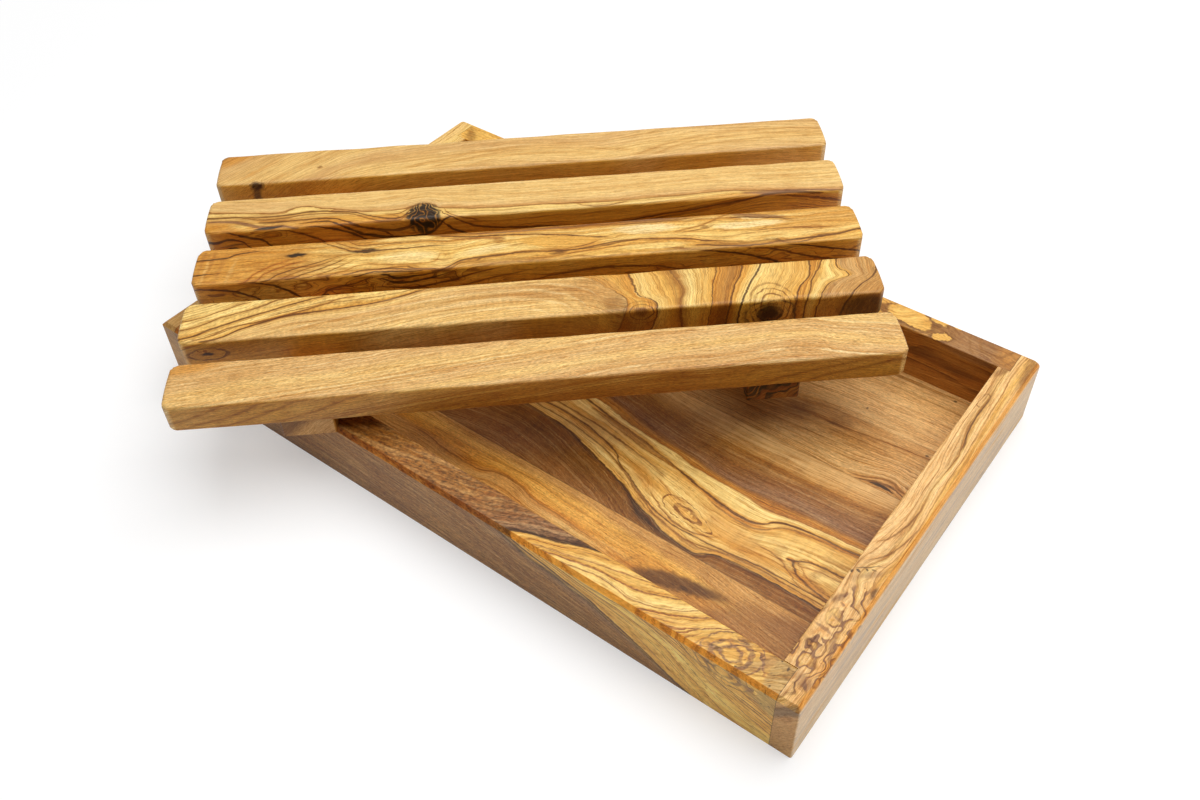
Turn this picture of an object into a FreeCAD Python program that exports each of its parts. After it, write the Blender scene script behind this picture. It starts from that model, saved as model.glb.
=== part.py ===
import FreeCAD, Part
import os
import re

import Sketcher

# Bread board with crumb catcher, in olive wood, in millimetres.
# X runs along the crumb tray, Y across it from front to back, and Z up.
# The origin is the middle of the tray's underside.

doc = FreeCAD.newDocument("BreadBoard")

driving = [
    ("trayLength", 400.0, "crumb tray, outside length"),
    ("trayWidth", 248.0, "crumb tray, outside width"),
    ("trayHeight", 38.5, "crumb tray, height to the rim"),
    ("wallThickness", 17.0, "front and back walls"),
    ("endThickness", 17.4, "left and right end boards"),
    ("cornerLap", 6.7, "depth of the lap in an end board that takes a wall's end"),
    ("floorLap", 6.0, "depth of the rebate that the floor lies in"),
    ("floorThickness", 7.3, "floor planks, flush with the walls' underside"),
    ("floorClearance", 0.2, "room for the floor to move in its rebate"),
    ("frontPlankShow", 42.0, "front floor plank, width that shows inside the tray"),
    ("backPlankShow", 83.4, "back floor plank, width that shows inside the tray"),
    ("rimBevel", 2.0, "bevel planed along the rim's outer edge"),
    ("rimRound", 0.8, "sanded inner edge of the rim"),
    ("frontCornerRound", 1.0, "upright corners at the front"),
    ("backCornerRound", 4.0, "upright corners at the back"),
    ("grateEndClearance", 0.8, "gap at each end when the grate lies in the tray"),
    ("grateSideClearance", 0.75, "gap at each side when the grate lies in the tray"),
    ("slatCount", 5, "slats in the grate"),
    ("slatWidth", 31.3, "slat width"),
    ("slatThickness", 16.3, "slat thickness"),
    ("slatCornerRound", 4.5, "slat's upright corners"),
    ("slatTopRound", 2.2, "hand-rounded upper edge of a slat"),
    ("slatFootBevel", 1.0, "lower edge of a slat, eased with a plane"),
    ("battenWidth", 26.4, "batten width"),
    ("battenThickness", 10.7, "batten thickness"),
    ("battenInset", 53.5, "from a slat's end to the batten's outer side"),
    ("battenSetback", 1.0, "from the grate's front and back to the batten's ends"),
    ("battenBevel", 0.8, "eased edges of a batten"),
    ("dowelDiameter", 8.0, "dowels that hold the slats on the battens"),
    ("dowelInSlat", 9.0, "depth of a dowel's hole in a slat"),
    ("dowelEndGap", 0.5, "glue room over a dowel's end"),
    ("dowelFit", 0.05, "glue film round a dowel"),
    ("dowelBevel", 0.8, "bevel at a dowel's inner end"),
    ("grateX", -54.8, "where the middle of the grate lies on the rim, along the tray"),
    ("grateY", 20.8, "where the middle of the grate lies on the rim, across the tray"),
    ("grateAngle", 41.87, "turn of the grate from the tray's length, in degrees"),
]
aliases = {entry[0] for entry in driving}

sheet = doc.addObject("Spreadsheet::Sheet", "Sizes")
for row, (alias, number, note) in enumerate(driving, start=1):
    sheet.set("A%d" % row, note)
    sheet.set("B%d" % row, str(number))
    sheet.setAlias("B%d" % row, alias)
doc.recompute()

# Formulas that several pieces share, in the sheet's names

wallReach = "(trayLength / 2 - endThickness + cornerLap)"
innerLength = "(trayLength - 2 * endThickness)"
innerWidth = "(trayWidth - 2 * wallThickness)"
slatLength = "(%s - 2 * grateEndClearance)" % innerLength
grateDepth = "(%s - 2 * grateSideClearance)" % innerWidth
slatPitch = "((%s - slatWidth) / (slatCount - 1))" % grateDepth
battenAlong = "(%s / 2 - battenInset - battenWidth / 2)" % slatLength
battenHalfLength = "(%s / 2 - battenSetback)" % grateDepth


def slatAcross(index):
    """Place of a slat's middle line across the grate; index 0 is the back slat."""
    return "(((slatCount - 1) / 2 - %d) * %s)" % (index, slatPitch)


# Helpers for formulas, sketches and features

def inSheet(formula):
    """The formula with each of the sheet's names looked up in the sheet."""
    return re.sub(r"[A-Za-z]\w*", lambda word: ("Sizes." if word[0] in aliases else "") + word[0], formula)


def size(formula):
    return float(sheet.evalExpression(inSheet(formula)))


def bind(thing, place, formula):
    thing.setExpression(place, inSheet(formula))


def near(first, second):
    closeEnough = 0.001
    return abs(first - second) < closeEnough


def newBody(label):
    body = doc.addObject("PartDesign::Body", label)
    body.Label = label
    return body


def newSketch(body, name, role):
    sketch = body.newObject("Sketcher::SketchObject", name)
    plane = next(feature for feature in body.Origin.OriginFeatures if feature.Role == role)
    sketch.AttachmentSupport = [(plane, "")]
    sketch.MapMode = "FlatFace"
    return sketch


def bindPoint(sketch, geometry, vertex, formulaX, formulaY):
    """Ties a point of a sketch to two formulas; a plain zero puts it on the axis."""
    horizontalAxis = -1
    verticalAxis = -2
    directions = [("DistanceX", formulaX, verticalAxis), ("DistanceY", formulaY, horizontalAxis)]
    for kind, formula, axis in directions:
        if formula == "0":
            sketch.addConstraint(Sketcher.Constraint("PointOnObject", geometry, vertex, axis))
        else:
            distance = Sketcher.Constraint(kind, -1, 1, geometry, vertex, size(formula))
            bind(sketch, "Constraints[%d]" % sketch.addConstraint(distance), formula)


def outlineSketch(body, name, role, corners):
    """A closed outline of straight lines, each corner given by two formulas."""
    sketch = newSketch(body, name, role)
    points = [FreeCAD.Vector(size(x), size(y), 0) for x, y in corners]
    count = len(points)
    for index in range(count):
        sketch.addGeometry(Part.LineSegment(points[index], points[(index + 1) % count]), False)
    for index in range(count):
        sketch.addConstraint(Sketcher.Constraint("Coincident", index, 2, (index + 1) % count, 1))
    for index, (x, y) in enumerate(corners):
        bindPoint(sketch, index, 1, x, y)
    return sketch


def rectangleSketch(body, name, role, lowX, lowY, highX, highY):
    return outlineSketch(body, name, role, [(lowX, lowY), (highX, lowY), (highX, highY), (lowX, highY)])


def circleSketch(body, name, centres, diameter):
    """Equal circles on the XY plane, each centre given by two formulas."""
    sketch = newSketch(body, name, "XY_Plane")
    for index, (x, y) in enumerate(centres):
        centre = FreeCAD.Vector(size(x), size(y), 0)
        sketch.addGeometry(Part.Circle(centre, FreeCAD.Vector(0, 0, 1), size(diameter) / 2), False)
        bindPoint(sketch, index, 3, x, y)
        across = Sketcher.Constraint("Diameter", index, size(diameter))
        bind(sketch, "Constraints[%d]" % sketch.addConstraint(across), diameter)
    return sketch


def pad(body, name, sketch, length, midplane=False):
    feature = body.newObject("PartDesign::Pad", name)
    feature.Profile = sketch
    feature.Midplane = midplane
    bind(feature, "Length", length)
    doc.recompute()


def pocketUp(body, name, sketch, depth):
    """Cuts upward from the XY plane, and makes sure that wood is gone."""
    before = body.Shape.Volume
    feature = body.newObject("PartDesign::Pocket", name)
    feature.Profile = sketch
    feature.Reversed = True
    bind(feature, "Length", depth)
    doc.recompute()
    if body.Shape.Volume >= before:
        raise RuntimeError(name + " cuts nothing")


def dress(body, kind, name, formula, test):
    """A fillet or a chamfer on those edges whose bounds pass the test."""
    base = body.Tip
    numbered = enumerate(base.Shape.Edges, start=1)
    edges = ["Edge%d" % number for number, edge in numbered if test(edge.BoundBox)]
    feature = body.newObject("PartDesign::" + kind, name)
    feature.Base = (base, edges)
    bind(feature, "Radius" if kind == "Fillet" else "Size", formula)
    doc.recompute()


def seat(body, x, y, z, turn="0"):
    """Places a body by formulas, turned about Z by a number of degrees."""
    body.Placement.Rotation = FreeCAD.Rotation(FreeCAD.Vector(0, 0, 1), 1)
    bind(body, "Placement.Rotation.Angle", turn)
    bind(body, "Placement.Base.x", x)
    bind(body, "Placement.Base.y", y)
    bind(body, "Placement.Base.z", z)


def seatInGrate(body, along, across, height):
    """Places a body by its spot in the grate, which lies turned on the rim."""
    angle = "(grateAngle * 1 deg)"
    x = "grateX + %s * cos(%s) - %s * sin(%s)" % (along, angle, across, angle)
    y = "grateY + %s * sin(%s) + %s * cos(%s)" % (along, angle, across, angle)
    seat(body, x, y, height, "grateAngle")


# Crumb tray: long walls
# The section has the floor's rebate at the inner foot and the bevel at the outer rim.
# The ends run into the laps of the end boards.

def longWall(label, y, turn):
    body = newBody(label)
    section = outlineSketch(body, label + "_section", "YZ_Plane", [
        ("0", "0"),
        ("wallThickness - floorLap", "0"),
        ("wallThickness - floorLap", "floorThickness"),
        ("wallThickness", "floorThickness"),
        ("wallThickness", "trayHeight"),
        ("rimBevel", "trayHeight"),
        ("0", "trayHeight - rimBevel"),
    ])
    pad(body, label + "_board", section, "2 * " + wallReach, midplane=True)
    inner = size("wallThickness")
    rim = size("trayHeight")

    def innerRimEdge(box):
        return near(box.YMin, inner) and near(box.ZMin, rim)

    dress(body, "Fillet", label + "_sanded_rim", "rimRound", innerRimEdge)
    seat(body, "0", y, "0", turn)
    return body


# Crumb tray: end boards
# An end board runs the tray's full width, so its end grain shows at the front and the back.
# Seen from above it is stepped at both ends, where a lap takes the wall's end.

def endBoard(label, x, turn, backSide):
    """An end board; backSide is 1 or -1, as its own Y points to the tray's back or front."""
    body = newBody(label)
    lapFace = "endThickness - cornerLap"
    halfWidth = "(trayWidth / 2)"
    wallFace = "(trayWidth / 2 - wallThickness)"
    rebateEnd = "(trayWidth / 2 - wallThickness + floorLap)"
    plan = outlineSketch(body, label + "_plan", "XY_Plane", [
        ("0", "-" + halfWidth),
        (lapFace, "-" + halfWidth),
        (lapFace, "-" + wallFace),
        ("endThickness", "-" + wallFace),
        ("endThickness", wallFace),
        (lapFace, wallFace),
        (lapFace, halfWidth),
        ("0", halfWidth),
    ])
    pad(body, label + "_board", plan, "trayHeight")
    rebate = rectangleSketch(body, label + "_rebate_plan", "XY_Plane",
                             "endThickness - floorLap", "-" + rebateEnd, "endThickness", rebateEnd)
    pocketUp(body, label + "_floor_rebate", rebate, "floorThickness")
    inner = size("endThickness")
    rim = size("trayHeight")
    end = size(halfWidth)

    def uprightEdge(box, side):
        return near(box.XMax, 0) and near(box.YMin, side * end) and near(box.YMax, side * end)

    def outerRimEdge(box):
        return near(box.ZMin, rim) and (near(box.XMin, 0) or near(box.YMax, -end) or near(box.YMin, end))

    def innerRimEdge(box):
        return near(box.XMin, inner) and near(box.ZMin, rim)

    def backEdge(box):
        return uprightEdge(box, backSide)

    def frontEdge(box):
        return uprightEdge(box, -backSide)

    dress(body, "Fillet", label + "_back_corner", "backCornerRound", backEdge)
    dress(body, "Chamfer", label + "_rim_bevel", "rimBevel", outerRimEdge)
    dress(body, "Fillet", label + "_front_corner", "frontCornerRound", frontEdge)
    dress(body, "Fillet", label + "_sanded_rim", "rimRound", innerRimEdge)
    seat(body, x, "0", "0", turn)
    return body


# Crumb tray: floor of three planks, glued edge to edge and lying in the rebates

def floorPlank(label, lowY, highY):
    body = newBody(label)
    reach = "(trayLength / 2 - endThickness + floorLap - floorClearance)"
    plan = rectangleSketch(body, label + "_plan", "XY_Plane", "-" + reach, lowY, reach, highY)
    pad(body, label + "_board", plan, "floorThickness")
    seat(body, "0", "0", "0")
    return body


frontSeam = "(frontPlankShow - trayWidth / 2 + wallThickness)"
backSeam = "(trayWidth / 2 - wallThickness - backPlankShow)"
floorReach = "(trayWidth / 2 - wallThickness + floorLap - floorClearance)"

trayPieces = [
    longWall("front_wall", "-trayWidth / 2", "0"),
    longWall("back_wall", "trayWidth / 2", "180"),
    endBoard("left_end_board", "-trayLength / 2", "0", 1),
    endBoard("right_end_board", "trayLength / 2", "180", -1),
    floorPlank("floor_plank_front", "-" + floorReach, frontSeam),
    floorPlank("floor_plank_middle", frontSeam, backSeam),
    floorPlank("floor_plank_back", backSeam, floorReach),
]


# Grate: slats, with two blind dowel holes in the underside of each

def slat(index):
    label = "slat_%d" % (index + 1)
    body = newBody(label)
    halfLength = "(%s / 2)" % slatLength
    halfWidth = "(slatWidth / 2)"
    plan = rectangleSketch(body, label + "_plan", "XY_Plane",
                           "-" + halfLength, "-" + halfWidth, halfLength, halfWidth)
    pad(body, label + "_bar", plan, "slatThickness")
    top = size("slatThickness")
    dress(body, "Fillet", label + "_corners", "slatCornerRound", lambda box: near(box.ZLength, top))
    dress(body, "Fillet", label + "_top_edge", "slatTopRound", lambda box: near(box.ZMin, top))
    dress(body, "Chamfer", label + "_foot_edge", "slatFootBevel", lambda box: near(box.ZMax, 0))
    centres = [("-" + battenAlong, "0"), (battenAlong, "0")]
    holes = circleSketch(body, label + "_hole_places", centres, "dowelDiameter + 2 * dowelFit")
    pocketUp(body, label + "_dowel_holes", holes, "dowelInSlat")
    seatInGrate(body, "0", slatAcross(index), "trayHeight + battenThickness")
    return body


# Grate: battens, bored through for a dowel under each slat

def batten(label, along):
    body = newBody(label)
    halfWidth = "(battenWidth / 2)"
    plan = rectangleSketch(body, label + "_plan", "XY_Plane",
                           "-" + halfWidth, "-" + battenHalfLength, halfWidth, battenHalfLength)
    pad(body, label + "_bar", plan, "battenThickness")
    top = size("battenThickness")
    dress(body, "Chamfer", label + "_corners", "battenBevel", lambda box: near(box.ZLength, top))
    dress(body, "Chamfer", label + "_foot_edge", "battenBevel", lambda box: near(box.ZMax, 0))
    centres = [("0", slatAcross(index)) for index in slatRange]
    holes = circleSketch(body, label + "_hole_places", centres, "dowelDiameter + 2 * dowelFit")
    pocketUp(body, label + "_dowel_holes", holes, "battenThickness")
    seatInGrate(body, along, "0", "trayHeight")
    return body


# Grate: dowels, one at each crossing, flush with the battens' underside

def dowels(label):
    body = newBody(label)
    body.AllowCompound = True
    centres = [(side + battenAlong, slatAcross(index)) for side in ("-", "") for index in slatRange]
    plan = circleSketch(body, label + "_places", centres, "dowelDiameter")
    pad(body, label + "_pegs", plan, "battenThickness + dowelInSlat - dowelEndGap")
    tip = size("battenThickness + dowelInSlat - dowelEndGap")
    dress(body, "Chamfer", label + "_bevel", "dowelBevel", lambda box: near(box.ZMin, tip))
    seatInGrate(body, "0", "0", "trayHeight")
    return body


slatRange = range(int(size("slatCount")))

gratePieces = [slat(index) for index in slatRange]
gratePieces += [batten("left_batten", "-" + battenAlong), batten("right_batten", battenAlong)]
gratePieces += [dowels("grate_dowels")]

doc.recompute()

for thing in doc.Objects:
    if {"Invalid", "Error"} & set(thing.State):
        raise RuntimeError("%s is %s" % (thing.Label, thing.State))
for body in trayPieces + gratePieces:
    if body.Shape.isNull() or not body.Shape.isValid():
        raise RuntimeError(body.Label + " has no valid shape")

os.makedirs("parts", exist_ok=True)
for body in trayPieces + gratePieces:
    body.Shape.exportStep("parts/%s.step" % body.Label)
    print("%-20s %2d solid(s) %9.1f mm3" % (body.Label, len(body.Shape.Solids), body.Shape.Volume))
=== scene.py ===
import math

import bmesh
import bpy
from mathutils import Matrix, Vector, noise


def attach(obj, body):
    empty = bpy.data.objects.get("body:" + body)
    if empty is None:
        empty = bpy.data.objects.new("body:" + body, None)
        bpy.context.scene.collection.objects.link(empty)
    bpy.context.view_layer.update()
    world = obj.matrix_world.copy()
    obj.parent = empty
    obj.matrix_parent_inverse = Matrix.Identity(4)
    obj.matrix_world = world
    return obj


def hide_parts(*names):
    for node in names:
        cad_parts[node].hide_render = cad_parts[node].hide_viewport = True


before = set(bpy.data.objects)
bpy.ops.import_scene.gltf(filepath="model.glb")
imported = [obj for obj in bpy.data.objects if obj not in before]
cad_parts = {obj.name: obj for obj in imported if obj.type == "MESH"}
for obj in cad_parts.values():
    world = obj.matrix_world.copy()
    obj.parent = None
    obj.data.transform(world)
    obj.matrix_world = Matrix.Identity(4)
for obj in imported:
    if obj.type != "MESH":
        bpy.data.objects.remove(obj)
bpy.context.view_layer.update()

# Bread board with crumb catcher: olive wood tray, and a slatted grate lying askew on its rim.
# Figures below are in millimetres unless they say otherwise; Blender's own unit is the metre.

mm = 0.001


# Colours

def paint(red, green, blue):
    def linear(level):
        share = level / 255
        return share / 12.92 if share <= 0.04045 else ((share + 0.055) / 1.055) ** 2.4
    return (linear(red), linear(green), linear(blue), 1.0)


oliveTones = {
    "cream": paint(250, 226, 168),
    "straw": paint(247, 213, 132),
    "sun": paint(242, 198, 108),
    "honey": paint(235, 195, 122),
    "gold": paint(228, 173, 80),
    "amber": paint(208, 141, 48),
    "fawn": paint(218, 173, 109),
    "tan": paint(199, 147, 78),
    "toast": paint(174, 118, 46),
    "walnut": paint(150, 101, 50),
    "brown": paint(142, 91, 30),
    "umber": paint(106, 65, 20),
    "bark": paint(70, 42, 13),
    "char": paint(38, 28, 18),
    "plum": paint(146, 103, 68),
    "moss": paint(192, 154, 92),
    "slate": paint(104, 98, 88),
    "linen": paint(228, 202, 166),
    "ash": paint(200, 179, 160),
    "rust": paint(146, 84, 34),
    "russet": paint(152, 92, 46),
    "peach": paint(240, 193, 128),
}


# Shader maths: a Value wraps one socket, and sums on values add Math nodes

class Value:
    def __init__(self, finish, socket):
        self.finish = finish
        self.socket = socket

    def __add__(self, other):
        return self.finish.math("ADD", self, other)

    def __sub__(self, other):
        return self.finish.math("SUBTRACT", self, other)

    def __rsub__(self, other):
        return self.finish.math("SUBTRACT", other, self)

    def __mul__(self, other):
        return self.finish.math("MULTIPLY", self, other)

    def __truediv__(self, other):
        return self.finish.math("DIVIDE", self, other)

    def __abs__(self):
        return self.finish.math("ABSOLUTE", self)

    __radd__ = __add__
    __rmul__ = __mul__

    def limited(self):
        return self.finish.math("ADD", self, 0.0, clamp=True)

    def upTo(self, other):
        return self.finish.math("MINIMUM", self, other)

    def atLeast(self, other):
        return self.finish.math("MAXIMUM", self, other)

    def swing(self, force):    # a noise, made to play round nought
        return (self - 0.5) * force


class Finish:
    def __init__(self, name):
        self.material = bpy.data.materials.new(name)
        self.material.use_nodes = True
        self.tree = self.material.node_tree
        self.tree.nodes.clear()

    def node(self, kind, settings=None, sockets=None, out=0):
        made = self.tree.nodes.new("ShaderNode" + kind)
        for name, setting in (settings or {}).items():
            if name == "stops":
                self.setStops(made.color_ramp, setting)
            elif name == "points":
                self.setPoints(made.mapping, setting)
            else:
                setattr(made, name, setting)
        for key, value in (sockets or {}).items():
            if isinstance(value, Value):
                self.tree.links.new(value.socket, made.inputs[key])
            else:
                made.inputs[key].default_value = value
        return Value(self, made.outputs[out]) if len(made.outputs) else None

    def setStops(self, ramp, stops):
        while len(ramp.elements) < len(stops):
            ramp.elements.new(0.5)
        for element, (place, colour) in zip(ramp.elements, stops):
            element.position = place
            element.color = colour

    def setPoints(self, mapping, points):
        points, mapping.extend = points
        curve = mapping.curves[0]
        while len(curve.points) < len(points):
            curve.points.new(0.5, 0.5)
        for point, (x, y, handle) in zip(curve.points, points):
            point.location = (x, y)
            point.handle_type = handle
        mapping.update()

    def math(self, operation, *parts, clamp=False):
        return self.node("Math", {"operation": operation, "use_clamp": clamp}, dict(enumerate(parts)))

    def step(self, value, start, end, low=0.0, high=1.0):
        limits = {"From Min": start, "From Max": end, "To Min": low, "To Max": high}
        return self.node("MapRange", {"interpolation_type": "SMOOTHSTEP"}, {"Value": value, **limits})

    def mix(self, factor, first, second, way="MIX"):
        settings = {"data_type": "RGBA", "blend_type": way}
        return self.node("Mix", settings, {0: factor, 6: first, 7: second}, out=2)

    def vector(self, x, y, z):
        return self.node("CombineXYZ", None, {"X": x, "Y": y, "Z": z})

    def axes(self, place, count=3):
        return [self.node("SeparateXYZ", None, {0: place}, out=axis) for axis in range(count)]

    def noise(self, place, detail=2.0, roughness=0.5, out=0):
        sockets = {"Vector": place, "Scale": 1.0, "Detail": detail, "Roughness": roughness}
        return self.node("TexNoise", None, sockets, out=out)

    def close(self, colour, roughness, normal, specular, glow=None):
        sockets = {"Base Color": colour, "Roughness": roughness, "Normal": normal,
                   "Specular IOR Level": specular}
        if glow:
            sockets.update({"Emission Color": glow, "Emission Strength": 1.0})
        shader = self.node("BsdfPrincipled", None, sockets)
        self.node("OutputMaterial", None, {"Surface": shader})
        return self.material


# Olive wood
# A board is drawn as one sheet folded over its long edges: along the grain, and across it.
# Rings are guide lines of growth. Tones, veins and fibres follow the field between them.
# Eyes are small knots and swirls, stains are soft oval spots, and strokes are single dark veins.
# Most of them are written in tables, a row each, with places on the sheet:
#     rings      along across, along across, ...
#     veins      tone lines jitter width wash odd broken: force, or ring force, ...: the spot they keep to
#     stains     tone force soft turn: the spot
#     strokes    tone force soft wash: along across thickness, ...
# A spot is its middle and its reach: along across, along across. Numbers that a row leaves out
# are the usual ones, and a row that ends in a comma goes on below.

woodGrain = {
    "wave": 1.0, "waveLength": 46.0, "waveWidth": 15.0,    # slow wander of the rings
    "ripple": 0.36, "rippleLength": 6.0, "rippleWidth": 2.4,   # short wander
    "ragged": 2.2, "raggedSize": 3.4,    # torn edges of knots and stains
    "fibre": 0.60, "fibreLength": 60.0, "fibreWidth": 1.1, "fibreEdges": (0.40, 0.66),
    "hair": 0.80, "hairLength": 12.0, "hairWidth": 0.5, "hairEdges": (0.52, 0.70),
    "fleck": 1.0, "fleckLength": 1.89, "fleckWidth": 0.42,
    "curl": 0.04, "curlLength": 5.0, "curlWidth": 14.0,    # bands across the grain
    "pale": 0.16, "paleTint": (0.55, 0.36, 0.16, 1.0),
    "fibreTint": (0.82, 0.70, 0.48, 1.0),
    "hairTint": (0.74, 0.58, 0.36, 1.0),
    "washTint": (0.80, 0.58, 0.28, 1.0),
    "side": 1.0, "sidePaintedShading": (0.67, 0.49, 0.17, 1.0),    # painted shade: the long faces are darker and browner than the top
    # the side veil screens a pale tint over the long faces: a painted sheen, the white floor's reflection
    # at a grazing angle
    "sideEdges": (0.9, 0.15), "sidePaintedSheen": 0.0, "paintedSheenTint": (0.20, 0.14, 0.07, 1.0),
    # rim paints shade on the top outer bevel of the front wall and end boards: an orange-brown band where
    # the rounding turns from the light
    "rim": 0.9, "rimPaintedShade": (1.0, 0.74, 0.36, 1.0),
    "rimEdges": (2.3, 1.9), "rimDepths": (-2.1, -1.8), "seamEdges": (0.5, 0.1),
    "end": 0.55, "endTint": (0.66, 0.50, 0.30, 1.0), "endFacing": (0.6, 0.95),
    "light": 1.02, "fibreLight": 0.24, "hairLight": 0.3, "calmTones": (0.14, 0.40),
    "roughness": 0.48, "fibreRoughness": 0.18, "hairRoughness": 0.08, "specular": 0.36,
    "relief": 0.12, "reliefStrength": 0.4, "fibreRelief": -0.6, "hairRelief": -0.5,
}
noiseShifts = {"drift": 5.0, "ripple": 11.0, "fade": 17.0, "curl": 29.0, "wild": 31.0, "broken": 37.0,
               "torn": 41.0, "crack": 43.0, "streak": 53.0, "band": 59.0, "gap": 61.0}
usualFigure = {"over": "along", "ringStep": 5.0, "ringLines": "", "drift": 0.5, "wild": []}
usualVeins = {"lines": 1.6, "jitter": 3.0, "width": 0.3, "wash": 0.8, "odd": 0.7, "broken": 0.0}
usualEye = {"turn": 0.0, "taper": 0.0, "halo": 1.7, "lines": 3.0, "force": 0.7, "core": 0.2,
            "tone": "umber", "coreTone": "bark"}
usualStain = {"force": 1.0, "soft": 0.35, "turn": 0.0}
usualStroke = {"force": 0.9, "soft": 0.45, "wash": 0.45}
leastGap = 0.6      # between two guide lines
leastFlow = 2.0     # of fibres between two guide lines


def places(row):
    return [tuple(map(float, place.split())) for place in row.split(",")]


def toneStops(row):
    return [(float(at), tone) for at, tone in map(str.split, row.split(",") if row else [])]


def rows(table):
    return table.strip().replace(",\n", ",").splitlines()


def marks(table, usual):
    for row in rows(table):
        head, *parts = row.split(":")
        tone, *figures = head.split()
        figures = dict(zip(usual, map(float, figures)))
        spot = places(parts[1]) if len(parts) > 1 else None
        yield {**usual, **figures, "tone": tone, "places": places(parts[0]), "spot": spot}


class OliveWood(Finish):
    def __init__(self, name, span, plan, seed):
        super().__init__(name)
        self.plan = plan
        self.seed = seed
        self.span = span
        self.grain = {**woodGrain, **plan.get("grain", {})}
        self.reach, self.low, self.high = plan["sheet"]
        self.place()
        eyes = [{**usualEye, **eye} for eye in plan.get("eyes", [])]
        self.eyes = [(eye, self.radius(*eye["spot"], eye["turn"], eye["taper"])) for eye in eyes]
        for order, figure in enumerate([plan, *plan.get("overlays", [])]):
            figure = {**usualFigure, **figure}
            lines, count, flow = self.ringCount(figure)
            drawn = self.drawFigure(figure, lines, count, 10 * order)
            if order:
                cover = self.step(count, -0.03, 0.03)
                colour = self.mix(cover, colour, drawn)
                self.flow = self.flow + (flow - self.flow) * cover
            else:
                colour, self.flow = drawn, flow
        for stain in marks(plan.get("stains", ""), usualStain):
            colour = self.addStain(colour, stain)
        for stroke in marks(plan.get("strokes", ""), usualStroke):
            colour = self.addStroke(colour, stroke)
        for eye, radius in self.eyes:
            colour = self.addEye(colour, eye, radius)
        self.finishBoard(colour)

    def place(self):
        spot = self.node("TexCoord", out=3)
        self.local = self.node("Mapping", {"vector_type": "TEXTURE"}, {
            "Vector": spot, "Location": self.span["top"], "Rotation": (0, 0, self.span["turn"]),
            "Scale": (mm, mm, mm)})
        self.along, self.across, self.down = self.axes(self.local)
        grain = self.grain
        wave = self.noise(self.stretched(grain["waveLength"], grain["waveWidth"]), 1.0)
        ripple = self.noise(self.stretched(grain["rippleLength"], grain["rippleWidth"], "ripple"), 2.0, 0.6)
        crossShare, downShare, shift = self.plan["fold"]
        folded = self.across * crossShare + self.down * downShare + shift
        self.fold = folded + wave.swing(4 * grain["wave"]) + ripple.swing(4 * grain["ripple"])
        self.alongUnit = (self.along + ripple.swing(6 * grain["ripple"])) / (2 * self.reach) + 0.5
        self.foldUnit = (self.fold - self.low) / (self.high - self.low)
        torn = self.noise(self.stretched(grain["raggedSize"], grain["raggedSize"], "torn"), 2.0, out=1)
        shake = grain["ragged"]
        self.sheetSpot = self.node("VectorMath", {"operation": "MULTIPLY_ADD"}, {
            0: torn, 1: (shake, shake, 0),
            2: self.vector(self.along - shake / 2, self.fold - shake / 2, 0.0)})

    def stretched(self, length, width, shift=None, extra=0):
        seed = self.seed + (noiseShifts.get(shift, 0.0) + extra)
        return self.node("VectorMath", {"operation": "MULTIPLY_ADD"}, {
            0: self.local, 1: (1 / length, 1 / width, 1 / width), 2: (seed, seed * 1.7, seed * 0.6)})

    def unit(self, along, fold):
        return (along / (2 * self.reach) + 0.5, (fold - self.low) / (self.high - self.low))

    def curve(self, points, handle="AUTO", over="along", extend="EXTRAPOLATED"):
        units = [self.unit(a, w) for a, w in points]
        if over == "across":
            units = [(w, a) for a, w in units]
        source = self.alongUnit if over == "along" else self.foldUnit
        settings = {"points": ([(x, y, handle) for x, y in sorted(units)], extend)}
        return self.node("FloatCurve", settings, {"Value": source})

    def ringCount(self, figure):
        rings = [places(row) for row in rows(figure["rings"])]
        over, ringStep = figure["over"], figure["ringStep"]
        span = self.high - self.low if over == "along" else 2 * self.reach
        place = self.foldUnit if over == "along" else self.alongUnit
        heights = [self.curve(ring, over=over) for ring in rings]
        count = ((place - heights[0]) * (span / ringStep)).upTo(0.0)
        flow = count * ringStep
        levels = [sum(w if over == "along" else a for a, w in ring) / len(ring) for ring in rings]
        for lower, upper, start, end in zip(heights, heights[1:], levels, levels[1:]):
            share = ((place - lower) / (upper - lower).atLeast(leastGap / span)).limited()
            count = count + share
            flow = flow + share * max(end - start, leastFlow)
        beyond = ((place - heights[-1]) * span).atLeast(0.0)
        count = count + beyond / ringStep
        flow = flow + beyond
        lines = [(abs(place - height) * span, thick, tone)
                 for height, (thick, tone) in zip(heights, toneStops(figure["ringLines"])) if thick]
        return lines, count, flow

    def radius(self, middle, reach, turn=0.0, taper=0.0):
        place = self.node("Mapping", {"vector_type": "TEXTURE"}, {
            "Vector": self.sheetSpot, "Location": (*middle, 0), "Rotation": (0, 0, math.radians(turn)),
            "Scale": (*reach, 1)})
        if taper:
            x, y = self.axes(place, 2)
            place = self.vector(x, y / (1 - x * taper).atLeast(0.2), 0.0)
        return self.node("VectorMath", {"operation": "LENGTH"}, {0: place}, out=1)

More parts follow.
